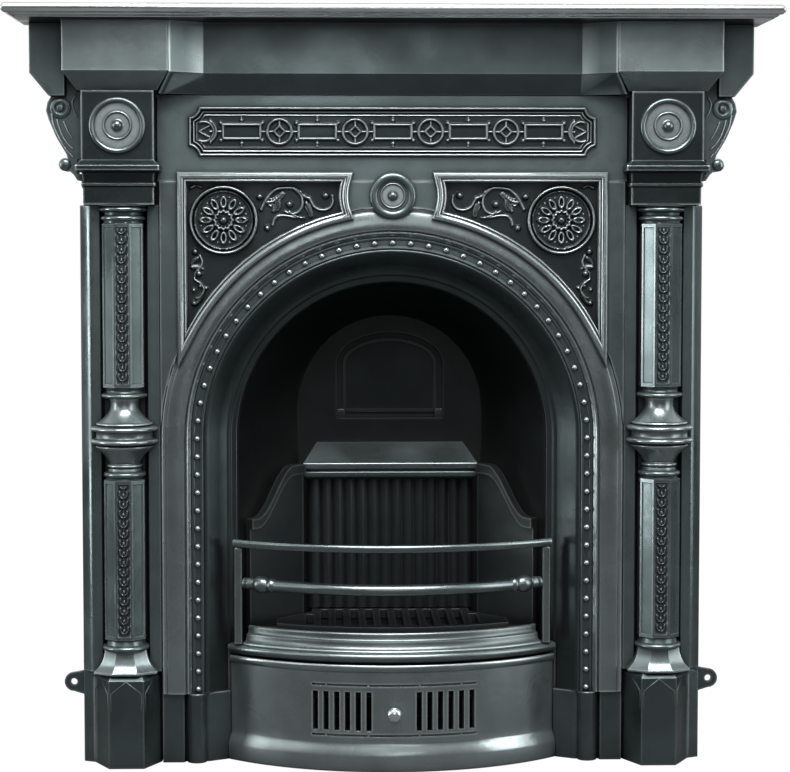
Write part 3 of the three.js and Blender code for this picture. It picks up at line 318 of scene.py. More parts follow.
# ---- Carving: heights in front of a ground, worked out from distances ----
def ridge(distance: np.ndarray, half: float | np.ndarray, height: float) -> np.ndarray:
    """A half-round moulding: height times the root of 1 minus the square of distance over half width."""
    return height * np.sqrt(np.clip(1 - (distance / half) ** 2, 0, None))


def to_line(x: np.ndarray, z: np.ndarray, a: tuple, b: tuple) -> np.ndarray:
    """Distance from each point to a stretch of line: to its nearest point, the share along it held to 0 to 1.

    Args:
        x: of the points.
        z: of the points.
        a: one end of the stretch.
        b: its other end.

    Returns:
        A distance for each point.
    """
    run = np.array(b, float) - np.array(a, float)
    along = np.clip(((x - a[0]) * run[0] + (z - a[1]) * run[1]) / max(run @ run, 1e-9), 0, 1)
    return np.hypot(x - a[0] - along * run[0], z - a[1] - along * run[1])


def to_box(x: np.ndarray, z: np.ndarray, half_x: float, half_z: float) -> np.ndarray:
    """Signed distance from each point to a rectangle round the origin: negative inside."""
    dx, dz = np.abs(x) - half_x, np.abs(z) - half_z
    return np.hypot(np.maximum(dx, 0), np.maximum(dz, 0)) + np.minimum(np.maximum(dx, dz), 0)


def smooth_curve(points: list, samples: int = 40) -> np.ndarray:
    """A curve through points: a cubic between each two, with slopes of half the way between neighbours.

    Args:
        points: pairs that the curve goes through.
        samples: how many points the curve has.

    Returns:
        samples by 2 array.
    """
    given = np.array(points, float)
    padded = np.vstack([2 * given[0] - given[1], given, 2 * given[-1] - given[-2]])
    t = np.linspace(0, len(given) - 1 - 1e-6, samples)
    i = t.astype(int)
    f = (t - i)[:, None]
    p0, p1, p2, p3 = padded[i], padded[i + 1], padded[i + 2], padded[i + 3]
    square, cube = 2 * p0 - 5 * p1 + 4 * p2 - p3, 3 * p1 - p0 - 3 * p2 + p3
    return (2 * p1 + (p2 - p0) * f + square * f**2 + cube * f**3) / 2


def stroke(x: np.ndarray, z: np.ndarray, points: list, start: float, end: float, height: float) -> np.ndarray:
    """A tapering carved stem along a curve: the highest of many domes whose radii run from start to end.

    Args:
        x: of the surface's points.
        z: of the surface's points.
        points: pairs that the stem goes through.
        start: the stem's half width where it begins.
        end: its half width where it stops.
        height: how far its thickest part stands out.

    Returns:
        A height for each point of the surface.
    """
    line = smooth_curve(points)
    radii = np.linspace(start, end, len(line))
    tall = np.zeros_like(x)
    low, high = line.min(0) - start - end, line.max(0) + start + end
    near = (x > low[0]) & (x < high[0]) & (z > low[1]) & (z < high[1])
    gap = np.hypot(x[near][:, None] - line[None, :, 0], z[near][:, None] - line[None, :, 1])
    tall[near] = (ridge(gap, radii, height) * (radii / radii.max()) ** 0.3).max(1)
    return tall


def dome(x: np.ndarray, z: np.ndarray, centre: tuple, radius: float, height: float) -> np.ndarray:
    """A round berry."""
    return ridge(np.hypot(x - centre[0], z - centre[1]), radius, height)


# ---- Finishes ----
@dataclass
class Wiring:
    """Puts nodes into a tree and joins them.

    Args:
        tree: the node tree of a material, a world or a group.
    """

    tree: bpy.types.NodeTree

    def put(self, kind: str, inputs: dict | None = None, **settings: object) -> bpy.types.Node:
        """Puts a node into the tree.

        Args:
            kind: the node's type, without its first word ShaderNode.
            inputs: by name or number, an input's value, or the output that feeds it.
            settings: the node's own properties.

        Returns:
            The node.
        """
        node = self.tree.nodes.new(f"ShaderNode{kind}")
        for name, value in settings.items():
            setattr(node, name, value)
        self.feed(node, inputs or {})
        return node

    def feed(self, node: bpy.types.Node, inputs: dict) -> None:
        """Gives a node's inputs their values, or the outputs that feed them."""
        for name, value in inputs.items():
            if isinstance(value, bpy.types.NodeSocket):
                self.tree.links.new(value, node.inputs[name])
            else:
                node.inputs[name].default_value = value

    def stretched(
        self, value: bpy.types.NodeSocket, low: float, high: float, top: float = 1.0
    ) -> bpy.types.NodeSocket:
        """A value spread from low to high over 0 to top."""
        inputs = {"Value": value, "From Min": low, "From Max": high, "To Max": top}
        return self.put("MapRange", inputs).outputs["Result"]

    def worked(self, operation: str, *values: object) -> bpy.types.NodeSocket:
        """A sum, product or other work of one Math node on its values."""
        return self.put("Math", dict(enumerate(values)), operation=operation).outputs[0]

    def blended(self, kind: str, a: object, b: object, factor: bpy.types.NodeSocket) -> bpy.types.NodeSocket:
        """A Mix node's blend from a to b, of colours or numbers."""
        return self.put("Mix", {"A": a, "B": b, "Factor": factor}, data_type=kind).outputs["Result"]


class MaskGroup:
    """A node group of masks, built once and placed in each finish."""

    NAME = ""
    INPUTS: dict = {}
    OUTPUTS: tuple = ()

    @classmethod
    def group(cls) -> bpy.types.NodeTree:
        """The node group, made the first time that it is asked for.

        Returns:
            A tree with the class's inputs, at their usual values, and its outputs.
        """
        if cls.NAME in bpy.data.node_groups:
            return bpy.data.node_groups[cls.NAME]
        tree = bpy.data.node_groups.new(cls.NAME, "ShaderNodeTree")
        for name, value in cls.INPUTS.items():
            made = tree.interface.new_socket(name=name, in_out="INPUT", socket_type="NodeSocketFloat")
            made.default_value = value
        for name in cls.OUTPUTS:
            tree.interface.new_socket(name=name, in_out="OUTPUT", socket_type="NodeSocketFloat")
        wiring = Wiring(tree)
        result = tree.nodes.new("NodeGroupOutput")
        wiring.feed(result, cls.masks(wiring, tree.nodes.new("NodeGroupInput").outputs))
        return tree

    @staticmethod
    def masks(wiring: Wiring, given: object) -> dict:
        """What feeds each output, from the group's inputs."""
        raise NotImplementedError


class CastSkin(MaskGroup):
    """The skin of a sand casting: a broad mottle, rubbed patches, and a fine grain over slow waves."""

    NAME = "Cast Skin"
    INPUTS = {"Mottle Scale": 26.0, "Grain Scale": 700.0}
    OUTPUTS = ("Mottle", "Rubbed", "Height")

    @staticmethod
    def masks(wiring: Wiring, given: object) -> dict:
        """Four noises: two are spread to masks, and the height is the grain plus three times the wave.

        Args:
            wiring: of the group's tree.
            given: the group's inputs.

        Returns:
            The output that feeds each of the group's own.
        """
        place = wiring.put("TexCoord").outputs["Object"]
        noises = ((given["Mottle Scale"], 4.0), (9.0, 2.0), (given["Grain Scale"], 3.0), (70.0, 1.0))
        mottle, rubbed, grain, wave = (
            wiring.put("TexNoise", {"Vector": place, "Scale": scale, "Detail": detail}).outputs["Fac"]
            for scale, detail in noises
        )
        return {
            "Mottle": wiring.stretched(mottle, 0.36, 0.64),
            "Rubbed": wiring.stretched(rubbed, 0.42, 0.62),
            "Height": wiring.worked("MULTIPLY_ADD", wave, 3.0, grain),
        }


class Relief(MaskGroup):
    """Where a casting's hollows take painted shade over their black lead, and where its edges, which catch
    the cloth, take a painted highlight.
    """

    NAME = "Hollows And Edges"
    INPUTS = {"Reach": 0.014, "Edge Width": 0.003}
    OUTPUTS = ("Hollow", "Edge")
    # Reach of the broad occlusion, which paints shade into deep recesses.
    SHADE_REACH = 0.07
    SAMPLES = 6

    @staticmethod
    def masks(wiring: Wiring, given: object) -> dict:
        """Hollow is the deeper of two reaches of occlusion, painted shade in hollows and deep recesses, and
        Edge is occlusion within but not outside, a painted highlight along the edges.

        Args:
            wiring: of the group's tree.
            given: the group's inputs.

        Returns:
            The output that feeds each of the group's own.
        """
        near, broad, within = (
            wiring.put("AmbientOcclusion", {"Distance": reach}, samples=Relief.SAMPLES, **side).outputs["AO"]
            for reach, side in (
                (given["Reach"], {}),
                (Relief.SHADE_REACH, {}),
                (given["Edge Width"], {"inside": True, "only_local": True}),
            )
        )
        hollow, broad_shade = wiring.stretched(near, 0.92, 0.42), wiring.stretched(broad, 0.9, 0.3, 0.9)
        return {
            "Hollow": wiring.worked("MAXIMUM", hollow, broad_shade),
            "Edge": wiring.worked("MULTIPLY", wiring.stretched(within, 0.93, 0.55), near),
        }


@dataclass(frozen=True)
class Iron:
    """A finish of the iron.

    Args:
        name: the material's name.
        slot: the record's material slot.
        face: colour of the open faces.
        hollow: colour in the hollows, black lead with painted shade.
        edge: colour of the edges that the cloth rubs, wear with a painted highlight.
        shine: roughness of the open faces.
        dull: roughness in the hollows.
        depth: how much the grain stands up, in metres.
        metal: how metallic the open faces are.
    """

    name: str
    slot: str
    face: tuple
    hollow: tuple
    edge: tuple
    shine: float
    dull: float = 0.5
    depth: float = 0.00012
    metal: float = 1.0

    def material(self) -> bpy.types.Material:
        """The material, made once: the face's colour varies by a sixth, then come the edges, wear with a
        painted highlight, and the hollows, black lead with painted shade.

        Returns:
            The material.
        """
        if self.name in bpy.data.materials:
            return bpy.data.materials[self.name]
        made = bpy.data.materials.new(self.name)
        made.use_nodes = True
        wiring = Wiring(made.node_tree)
        skin = wiring.put("Group", node_tree=CastSkin.group()).outputs
        relief = wiring.put("Group", node_tree=Relief.group()).outputs
        rubbed = wiring.worked("MULTIPLY", skin["Rubbed"], 0.55)
        patchy = wiring.worked("MULTIPLY_ADD", skin["Mottle"], 0.45, rubbed)
        low, high = ((*(share * c for c in self.face), 1) for share in (0.84, 1.16))
        base = wiring.blended("RGBA", low, high, patchy)
        # The edges lighten to the edge colour: wear with a painted highlight.
        worn_and_highlit = wiring.blended("RGBA", base, (*self.edge, 1), relief["Edge"])
        gloss = wiring.blended("FLOAT", self.shine + 0.06, self.shine - 0.05, skin["Rubbed"])
        metal = {"Value": relief["Hollow"], "To Min": self.metal, "To Max": 0.35 * self.metal}
        metal = wiring.put("MapRange", metal)
        bump = wiring.put("Bump", {"Strength": 0.5, "Distance": self.depth, "Height": skin["Height"]})
        wiring.feed(
            made.node_tree.nodes["Principled BSDF"],
            {
                # The hollows darken to the hollow colour: black lead with painted shade.
                "Base Color": wiring.blended("RGBA", worn_and_highlit, (*self.hollow, 1), relief["Hollow"]),
                "Roughness": wiring.blended("FLOAT", gloss, self.dull, relief["Hollow"]),
                "Metallic": metal.outputs["Result"],
                "Normal": bump.outputs["Normal"],
            },
        )
        return made


# Hollow colours: black lead gathered in the hollows, darkened further as painted shade.
LEADED_HOLLOW = (0.005, 0.007, 0.0075)
CARVED_HOLLOW = (0.0035, 0.0045, 0.005)
BRIGHT_HOLLOW = (0.009, 0.0115, 0.012)
BLACKED = Iron(
    "Black-leaded Iron", "blacked_iron", (0.17, 0.216, 0.22), LEADED_HOLLOW, (0.5, 0.57, 0.575), 0.26
)
# A darker copy of the black-leaded iron for the frieze box, plinths, feet and bead strip: painted shade.
SHADED_BLACKED = Iron("Black-leaded Iron In Painted Shade", "blacked_iron", (0.115, 0.146, 0.149), LEADED_HOLLOW, (0.42, 0.48, 0.485), 0.26)
# A lighter copy of the black-leaded iron for the brackets and the flared column bases: a painted highlight
# standing for their reflection.
LIT_BLACKED = Iron(
    "Black-leaded Iron With Painted Highlight", "blacked_iron", (0.26, 0.315, 0.32), (0.007, 0.009, 0.0095), (0.68, 0.76, 0.765), 0.25
)
# A much darker copy of the black-leaded iron with far lighter edges: painted shade on the faces and a painted
# highlight on the edges. It dresses the carving, the fretwork, the cap blocks, the shelf's underside and the
# joint flanges.
CARVED = Iron("Iron With Painted Shade And Lit Edges", "blacked_iron", (0.044, 0.057, 0.058), CARVED_HOLLOW, (0.62, 0.7, 0.71), 0.29)
SHADED = Iron(
    "Shaded Carving", "blacked_iron", (0.055, 0.07, 0.071), CARVED_HOLLOW, (0.14, 0.165, 0.165), 0.32
)
# A lighter copy of the burnished iron for the spandrel frames: a painted highlight.
BRIGHT = Iron("Moulding With Painted Highlight", "polished_iron", (0.5, 0.575, 0.58), BRIGHT_HOLLOW, (0.84, 0.92, 0.92), 0.22)
POLISHED = Iron(
    "Burnished Iron", "polished_iron", (0.33, 0.385, 0.39), BRIGHT_HOLLOW, (0.78, 0.86, 0.86), 0.23
)
# A darker copy of the burnished iron for the bars, the posts and the rail: painted shade.
SHADED_POLISHED = Iron(
    "Polished Iron In Painted Shade", "polished_iron", (0.21, 0.25, 0.25), (0.005, 0.0065, 0.007), (0.48, 0.55, 0.55), 0.27
)
SOOTED = Iron(
    "Sooted Iron", "sooted_iron", (0.02, 0.024, 0.024), (0.002, 0.002, 0.002), (0.05, 0.058, 0.058), 0.42, 0.7
)
REEDS = Iron(
    "Reeded Brick", "sooted_iron",
    (0.045, 0.054, 0.054), (0.0025, 0.003, 0.003), (0.13, 0.15, 0.15), 0.36, 0.6,
)
HOB = Iron(
    "Hob Iron", "sooted_iron", (0.14, 0.168, 0.17), (0.003, 0.0035, 0.0035), (0.4, 0.46, 0.46), 0.32, 0.6
)
SHELF = Iron(
    "Bright Shelf Iron", "shelf_iron", (0.76, 0.815, 0.82), (0.05, 0.058, 0.06), (0.88, 0.93, 0.93), 0.2
)
FINISHES = {finish.slot: finish for finish in (BLACKED, POLISHED, SOOTED, SHELF)}
# Nodes that take another finish than their slot's; the lighter and darker copies of an iron among them are
# painted light and shade.
NODE_FINISHES = {
    node: finish
    for finish, nodes in (
        (HOB, ("back_ledge",)),
        (REEDS, ("reeded_back", "bottom_grate", "grate_bearer", "cheek_left", "cheek_right")),
        (LIT_BLACKED, ("bracket_left", "bracket_right")),
        (BLACKED, ("frieze_plate",)),
        (SHADED_BLACKED, ("frieze_box", "plinth_left", "plinth_right", "foot_left", "foot_right")),
        (CARVED, ("cap_block_left", "cap_block_right")),
        (SHADED_POLISHED, ("post_left", "post_right")),
    )
    for node in nodes
}


# ---- Castings whose shape comes from the frame ----
class Softened:
    """Rounds the arrises of plain castings and dresses every node that no new piece stands for."""

    ROUNDING = 1.1
    SEGMENTS = 3
    ANGLE = 28.0
    PLAIN_SHARE = 0.4
    WEIGHT = 80
    PLAIN = ("fireback", "casing", "flap_pin", "shelf_bolt_left", "shelf_bolt_right")

    @staticmethod
    def smoother() -> bpy.types.NodeTree:
        """A geometry node group that joins a node's loose triangles and shades them smooth.

        Returns:
            The group's tree.
        """
        tree = bpy.data.node_groups.new("Join And Smooth", "GeometryNodeTree")
        tree.interface.new_socket(name="Geometry", in_out="INPUT", socket_type="NodeSocketGeometry")
        tree.interface.new_socket(name="Geometry", in_out="OUTPUT", socket_type="NodeSocketGeometry")
        nodes, links = tree.nodes, tree.links
        given, result = nodes.new("NodeGroupInput"), nodes.new("NodeGroupOutput")
        merge, smooth = nodes.new("GeometryNodeMergeByDistance"), nodes.new("GeometryNodeSetShadeSmooth")
        merge.inputs["Distance"].default_value = 5e-6
        links.new(given.outputs[0], merge.inputs["Geometry"])
        links.new(merge.outputs["Geometry"], smooth.inputs["Geometry"])
        links.new(smooth.outputs["Geometry"], result.inputs[0])
        return tree

    def dress(self) -> None:
        """Gives every shown node its finish, and rounds its edges."""
        slots = {row["node"]: row["material_slot"] for row in frame["record"]["subparts"]}
        smoother = self.smoother()
        for name, node in frame["nodes"].items():
            if node.hide_render:
                continue
            node.data.materials.clear()
            node.data.materials.append(NODE_FINISHES.get(name, FINISHES[slots[name]]).material())
            join = node.modifiers.new("join", "NODES")
            join.node_group = smoother
            bevel = node.modifiers.new("rounding", "BEVEL")
            bevel.width = self.ROUNDING * MM * (self.PLAIN_SHARE if name in self.PLAIN else 1.0)
            bevel.segments = self.SEGMENTS
            bevel.limit_method = "ANGLE"
            bevel.angle_limit = math.radians(self.ANGLE)
            bevel.use_clamp_overlap = True
            weighted = node.modifiers.new("weighted", "WEIGHTED_NORMAL")
            weighted.weight = self.WEIGHT
            LOG.info("%s: rounded and dressed as %s", name, slots[name])


# ---- The mantel shelf ----
@dataclass
class Mantel:
    """The shelf: a slab with a moulded edge on three sides."""

    half: float = 482.5
    reach: float = 130.0
    low: float = 948.0
    high: float = 965.0
    corner: float = 4.0
    nose: float = 6.4
    underside: float = 947.8

    def edge(self) -> np.ndarray:
        """Profile of the edge: a cove, a fillet and a bull nose, from the underside up.

        Returns:
            (inset, z) pairs.
        """
        nose = arc((self.nose, 958.6), self.nose, -98, 98, 18)
        nose = np.column_stack([2 * self.nose - nose[:, 0], nose[:, 1]])
        under = np.array([[22, self.low], [13.2, self.low], [12.6, 948.9], [10.2, 949.6], [8.0, 951.3]])
        return np.vstack([under, nose, [[9.5, self.high]]])

    def plan(self, inset: float, z: float) -> np.ndarray:
        """The shelf's outline at a height: a rectangle with rounded front corners, drawn in by the inset.

        Args:
            inset: from the shelf's edge.
            z: the height.

        Returns:
            n by 3 array, from the wall on the left round to the wall on the right.
        """
        half, front, r = self.half - inset, self.reach - inset, self.corner
        left = arc((-half + r, -front + r), r, 180, 270, 6)
        right = arc((half - r, -front + r), r, 270, 360, 6)
        plan = np.vstack([[[-half, 0]], left, right, [[half, 0]]])
        return np.column_stack([plan, np.full(len(plan), z)])

    def build(self) -> None:
        """Stacks the outlines of the edge's profile, and closes the underside with a sheet darkened as
        painted shade.
        """
        rows = np.array([self.plan(inset, z) for inset, z in self.edge()])
        make_piece("shelf", grid_shell(rows, wrap_columns=True, caps=True), SHELF, ("mantel_shelf",))
        rows = []
        for inset, z in ((13.0, 948.4), (13.4, 947.9), (14.4, self.underside), (self.reach, self.underside)):
            half, front = self.half - inset, self.reach - inset
            rows.append([[-half, 0, z], [-half, -front, z], [half, -front, z], [half, 0, z]])
        # The underside sheet's dark finish is painted shade.
        make_piece("shelf_underside", grid_shell(np.array(rows, float)), CARVED)


# ---- The frieze ----
@dataclass
class Fret:
    """The strapwork panel of the frieze: circles and rectangles in a frame with hollowed corners."""

    half: float = 260.0
    rise: float = 32.0
    centre: float = 812.0
    ground: float = -28.3
    corner: float = 13.0
    pitch: float = 96.0
    circle: float = 15.5
    end_centre: float = 240.0
    end_circle: float = 12.5
    field: float = 0.9
    margin: float = 12.4
    step: float = 0.72

    def frame_distance(self, x: np.ndarray, z: np.ndarray) -> np.ndarray:
        """Signed distance to the outline: a rectangle less a circle at each corner."""
        bite = self.corner - np.hypot(np.abs(x) - self.half, np.abs(z) - self.rise)
        return np.maximum(to_box(x, z, self.half, self.rise), bite)

    def motif(self, x: np.ndarray, z: np.ndarray) -> np.ndarray:
        """The run of circles and rectangles: ridges on distances that repeat in x at the pitch.

        Args:
            x: counted from the panel's middle.
            z: counted from the panel's middle.

        Returns:
            A height for each point.
        """
        cell = (x + self.pitch / 2) % self.pitch - self.pitch / 2
        shifted = x % self.pitch - self.pitch / 2
        away = np.hypot(shifted, z)
        diamond = np.abs(shifted) + np.abs(z)
        in_circle = (away < self.circle) & (diamond > 7)
        between = (np.abs(cell) > 25) & (np.abs(shifted) > self.circle)
        parts = [
            ridge(away - self.circle, 2.6, 5.8),
            ridge((diamond - 7.2) * 0.72, 2.3, 5.0),
            ridge(np.minimum(np.abs(shifted), np.abs(z)), 1.7, 4.6) * in_circle,
            ridge(to_box(cell, z, 23.6, 8.8), 2.5, 5.6),
            dome(np.abs(cell), np.abs(z), (26.2, 10.8), 3.0, 5.0),
            ridge(z, 1.7, 4.8) * between,
            dome(np.abs(cell), np.abs(z), (0, 14.4), 2.7, 5.2),
            ridge(cell, 1.1, 3.6) * ((np.abs(z) > 9) & (np.abs(z) < 20)),
        ]
        return np.max([*parts, self.field + 0 * x], axis=0)

    def heights(self, x: np.ndarray, z: np.ndarray) -> np.ndarray:
        """The relief: three mouldings along the outline, the motif, and a half circle and fan at each end.

        Args:
            x: counted from the panel's middle.
            z: counted from the panel's middle.

        Returns:
            A height in front of the ground for each point.
        """
        edge = self.frame_distance(x, z)
        tall = np.clip(0.4 - edge, -1, 1.2)
        for inset, half, height in ((2.6, 2.5, 6.4), (7.4, 1.3, 4.6), (11.2, 1.1, 3.6)):
            tall = np.maximum(tall, ridge(edge + inset, half, height))
        inside = (edge < -self.margin) & (np.abs(x) < 232)
        end_ring = ridge(np.abs(np.hypot(np.abs(x) - self.end_centre, z) - self.end_circle), 1.9, 5.2)
        end_fan = ridge(to_line(np.abs(x), np.abs(z), (246, 0), (232, 7.5)), 1.4, 4.0)
        ends = np.max([end_ring * (np.abs(x) < 246), end_fan, self.field + 0 * x], axis=0) * (edge < -12)
        return np.maximum(tall, np.where(inside, np.maximum(self.motif(x, z), ends), ends))

    def build(self) -> None:
        """Samples the relief on an even grid a little larger than the panel."""
        half, rise = self.half + 1.5, self.rise + 1.5
        x, z = np.meshgrid(np.arange(-half, half + 0.1, self.step), np.arange(-rise, rise + 0.1, self.step))
        surface = sheet(x, z + self.centre, self.ground - self.heights(x, z), self.frame_distance(x, z) < 0.5)
        make_piece("fretwork", surface, CARVED, ("fret_panel",), sharp=70, back=self.ground + 6)


def roundel_profile(radius: float, thick: float, ring: float) -> np.ndarray:
    """Profile (radius, forward) of a roundel: a torus, a well, a thin ring, a second well and a round boss.

    Args:
        radius: of the whole roundel.
        thick: half the torus's width, as a share of the radius.
        ring: the thin ring's radius, as a share of the radius.

    Returns:
        Points from the back of the axis round to its front.
    """
    torus = arc((1 - thick, 0), thick, 0, 180, 14) * [radius, radius * min(1, 0.13 / thick)] + [0, 2.6]
    thin = arc((ring, 0), 0.034, 0, 180, 10) * radius + [0, 2.0]
    boss = arc((0, 0), 0.2, -12, 90, 10) * radius + [0, 3.0]
    well = np.array([[(1 - 2 * thick) * radius, 0.6], [(ring + 0.05) * radius, 0.5]])
    pit = np.array([[(ring - 0.05) * radius, 0.4], [0.24 * radius, 0.4], [0.21 * radius, 1.4]])
    return np.vstack([[[0, -0.2], [radius, -0.2]], torus, well, thin, pit, boss])


@dataclass
class Roundels:
    """The roundels on the cap blocks and the medallion over the arch."""

    cap_x: float = 346.5
    cap_y: float = -62.3
    cap_z: float = 818.0
    cap_radius: float = 35.5
    centre_y: float = -28.3
    centre_z: float = 731.0
    centre_radius: float = 29.5

    def build(self) -> None:
        """Turns each roundel's profile about its axis."""
        profile = roundel_profile(self.cap_radius, 0.095, 0.475)
        for side in Side:
            shell = turned_forward(profile, (self.cap_x * side.value, self.cap_z), self.cap_y)
            make_piece(f"roundel_{side.word}", shell, BLACKED, (f"cap_roundel_{side.word}",))
        profile = roundel_profile(self.centre_radius, 0.17, 0.52)
        shell = turned_forward(profile, (0, self.centre_z), self.centre_y)
        make_piece("medallion", shell, BLACKED, ("centre_medallion",))


# ---- Spandrels ----
@dataclass
class Spandrels:
    """The carved panels each side of the arch and the mouldings that frame them."""

    half: float = 263.0
    top: float = 749.0
    arch_z: float = 420.0
    arch_radius: float = 297.0
    medallion_z: float = 731.0
    crescent: float = 68.0
    field: float = -28.3
    sunk: float = -22.3
    rosette: tuple = (215.6, 700.0)
    carving_back: float = -18.2
    step: float = 0.85

    def outline(self) -> np.ndarray:
        """The panel's edge on the right: the top, the crescent round the medallion, the arch and the upright.

        The two circles meet at (d squared + R squared - r squared) / 2d along the line of their centres.

        Returns:
            (x, z) pairs.
        """
        apart = self.medallion_z - self.arch_z
        along = (apart**2 + self.arch_radius**2 - self.crescent**2) / (2 * apart)
        meet_x, meet_z = math.sqrt(self.arch_radius**2 - along**2), self.arch_z + along
        top = math.degrees(math.asin((self.top - self.medallion_z) / self.crescent))
        foot = math.degrees(math.atan2(meet_z - self.medallion_z, meet_x))
        high = math.degrees(math.atan2(meet_z - self.arch_z, meet_x))
        low = math.degrees(math.acos(self.half / self.arch_radius))
        return np.vstack(
            [
                [[self.half, self.top]],
                arc((0, self.medallion_z), self.crescent, top, foot, 24),
                arc((0, self.arch_z), self.arch_radius, high, low, 60)[1:],
            ]
        )

    def moulding(self) -> np.ndarray:
        """A moulding's profile: a fine fillet beside the panel, a quirk and a bold half round.

        Returns:
            (outward, forward) pairs.
        """
        fillet = arc((1.3, 5.2), 1.2, 180, 0, 6)
        bold = arc((7.4, 4.4), 4.4, 165, 0, 16)
        foot = [[11.8, 2.0], [11.9, -0.2], [6, -0.2], [0, -0.2]]
        return np.vstack([[[0, -5]], fillet, [[2.7, 4.4], [2.9, 4.2]], bold, foot])

    def leaf(self, x: np.ndarray, z: np.ndarray, spine: list, lobe: float, height: float) -> np.ndarray:
        """An acanthus leaf: a stem with pairs of short curling lobes that shrink towards its tip.

        Args:
            x: of the surface's points.
            z: of the surface's points.
            spine: pairs that the stem goes through.
            lobe: the length of the first lobes.
            height: of the stem.

        Returns:
            A height for each point.
        """
        tall = stroke(x, z, spine, 2.6, 1.3, height)
        line = smooth_curve(spine, 9)
        ahead = np.gradient(line, axis=0)
        ahead /= np.linalg.norm(ahead, axis=1, keepdims=True)
        for i in range(1, 8):
            size = lobe * (1 - 0.075 * i)
            for turn in (-1, 1):
                side = np.array([-ahead[i, 1], ahead[i, 0]]) * turn
                tip = line[i] + size * (0.75 * side + 0.65 * ahead[i])
                bend = line[i] + size * (0.62 * side + 0.1 * ahead[i])
                tall = np.maximum(tall, stroke(x, z, [line[i], bend, tip], 1.5, 1.0, 0.8 * height))
        return tall

    def flower(self, x: np.ndarray, z: np.ndarray) -> np.ndarray:
        """The rosette: two rings round twelve looped petals, a scalloped ring and a boss, in polar distances.

        Args:
            x: of the surface's points.
            z: of the surface's points.

        Returns:
            A height for each point.
        """
        dx, dz = x - self.rosette[0], z - self.rosette[1]
        away, turn = np.hypot(dx, dz), np.arctan2(dz, dx)
        twelfth = math.pi / 6
        fold = (turn + math.pi / 2 + twelfth / 2) % twelfth - twelfth / 2
        u, v = away * np.cos(fold), away * np.sin(fold)
        rings = np.maximum(ridge(away - 41.8, 3.0, 9.5), ridge(away - 36.8, 1.2, 5.2))
        loop = np.hypot((u - 22.5) / 8.4, v / 4.0)
        petal = ridge((loop - 0.78) * 4.2, 1.5, 5.6)
        vein = ridge(v, 0.9, 3.2) * ((u > 16) & (u < 25))
        gap = ridge(np.hypot(u - 28.5, np.abs(v) - 7.4), 1.2, 2.6)
        scallop = ridge(away - 10.8 - 1.0 * np.cos(12 * turn), 2.3, 7.6)
        dish = np.where(away < 9, 2.2, 0) + np.where(away < 36, 1.2, 0)
        return np.max([rings, petal, vein, gap, scallop, dish, dome(dx, dz, (0, 0), 6.0, 9.6)], axis=0)

    def carving(self, x: np.ndarray, z: np.ndarray) -> np.ndarray:
        """The right-hand carving: the highest of the rosette, the stems, the leaves and the berries.

        Args:
            x: of the surface's points.
            z: of the surface's points.

        Returns:
            A height in front of the sunk ground for each point.
        """
        crest = [(168, 714), (161, 727), (152, 737), (145, 740)]
        crest += [(134, 741), (125, 740), (117, 735), (113, 729)]
        stems = [
            (crest, 2.6, 1.8),
            ([(126, 740), (117, 731), (115, 720), (120, 711), (129, 708), (137, 711)], 2.0, 1.5),
            ([(113, 730), (106, 727), (100, 717), (91, 713), (81, 715), (76, 723), (77, 731)], 2.2, 1.5),
            ([(153, 694), (151, 701), (147, 705), (140, 706), (131, 705), (124, 703)], 2.3, 1.5),
            ([(132, 711), (127, 707), (121, 704), (113, 703)], 1.9, 1.2),
            ([(246, 655), (243, 647), (246, 639), (252, 633), (253, 624)], 2.0, 1.4),
            ([(252, 624), (245, 619), (241, 611), (245, 603), (251, 600)], 1.8, 1.3),
            ([(257, 741), (250, 744), (243, 741)], 1.8, 1.2),
        ]
        berries = [
            (169.6, 730, 4.4, 7), (131.6, 720.5, 4.6, 7.5), (85.5, 731.5, 4.6, 7.5), (160, 690, 4.2, 7),
            (252, 660, 4.2, 7), (247, 632, 4.4, 7.5), (253.4, 594, 3.8, 6), (245.6, 616.2, 2.5, 4.5),
            (254, 611, 2.5, 4.5), (238, 613.4, 2.2, 4), (117.8, 736, 2.6, 5), (112.4, 730.4, 2.8, 5),
            (106, 728, 2.5, 4.5),
        ]
        tall = self.flower(x, z)
        for points, start, end in stems:
            tall = np.maximum(tall, stroke(x, z, points, start, end, 4.6))
        for bx, bz, radius, height in berries:
            tall = np.maximum(tall, dome(x, z, (bx, bz), radius, height))
        leaves = [
            ([(163, 722), (152, 724), (144, 730), (139, 735)], 6.5),
            ([(152, 712), (147, 718), (146, 724)], 5.5),
            ([(110, 722), (106, 712), (104, 704)], 5.0),
            ([(256, 640), (249, 640), (242, 638)], 3.6),
            ([(249, 652), (254, 648), (257, 643)], 3.4),
            ([(243, 606), (247, 598), (252, 592)], 3.6),
        ]
        for spine, lobe in leaves:
            tall = np.maximum(tall, self.leaf(x, z, spine, lobe, 3.6))
        return tall

    def build(self) -> None:
        """Makes each frame by carrying its moulding round the panel, and each carving as a relief."""
        edge = self.outline()
        x, z = np.meshgrid(np.arange(60, self.half + 4, self.step), np.arange(545, self.top + 4, self.step))
        off_arch = np.hypot(x, z - self.arch_z) > self.arch_radius - 7
        off_medallion = np.hypot(x, z - self.medallion_z) > self.crescent - 7
        carved = sheet(x, z, self.sunk - self.carving(x, z), off_arch & off_medallion)
        frame_shell = carry_face(self.moulding(), edge, self.field, closed=True)
        for side in Side:
            names = (f"spandrel_frame_{side.word}",)
            # The frames' lighter finish is a painted highlight.
            make_piece(f"moulding_{side.word}", frame_shell.mirrored(side), BRIGHT, names, sharp=50)
            names = (f"spandrel_carving_{side.word}",)
            panel = carved.mirrored(side)
            make_piece(f"carving_{side.word}", panel, CARVED, names, sharp=70, back=self.carving_back)


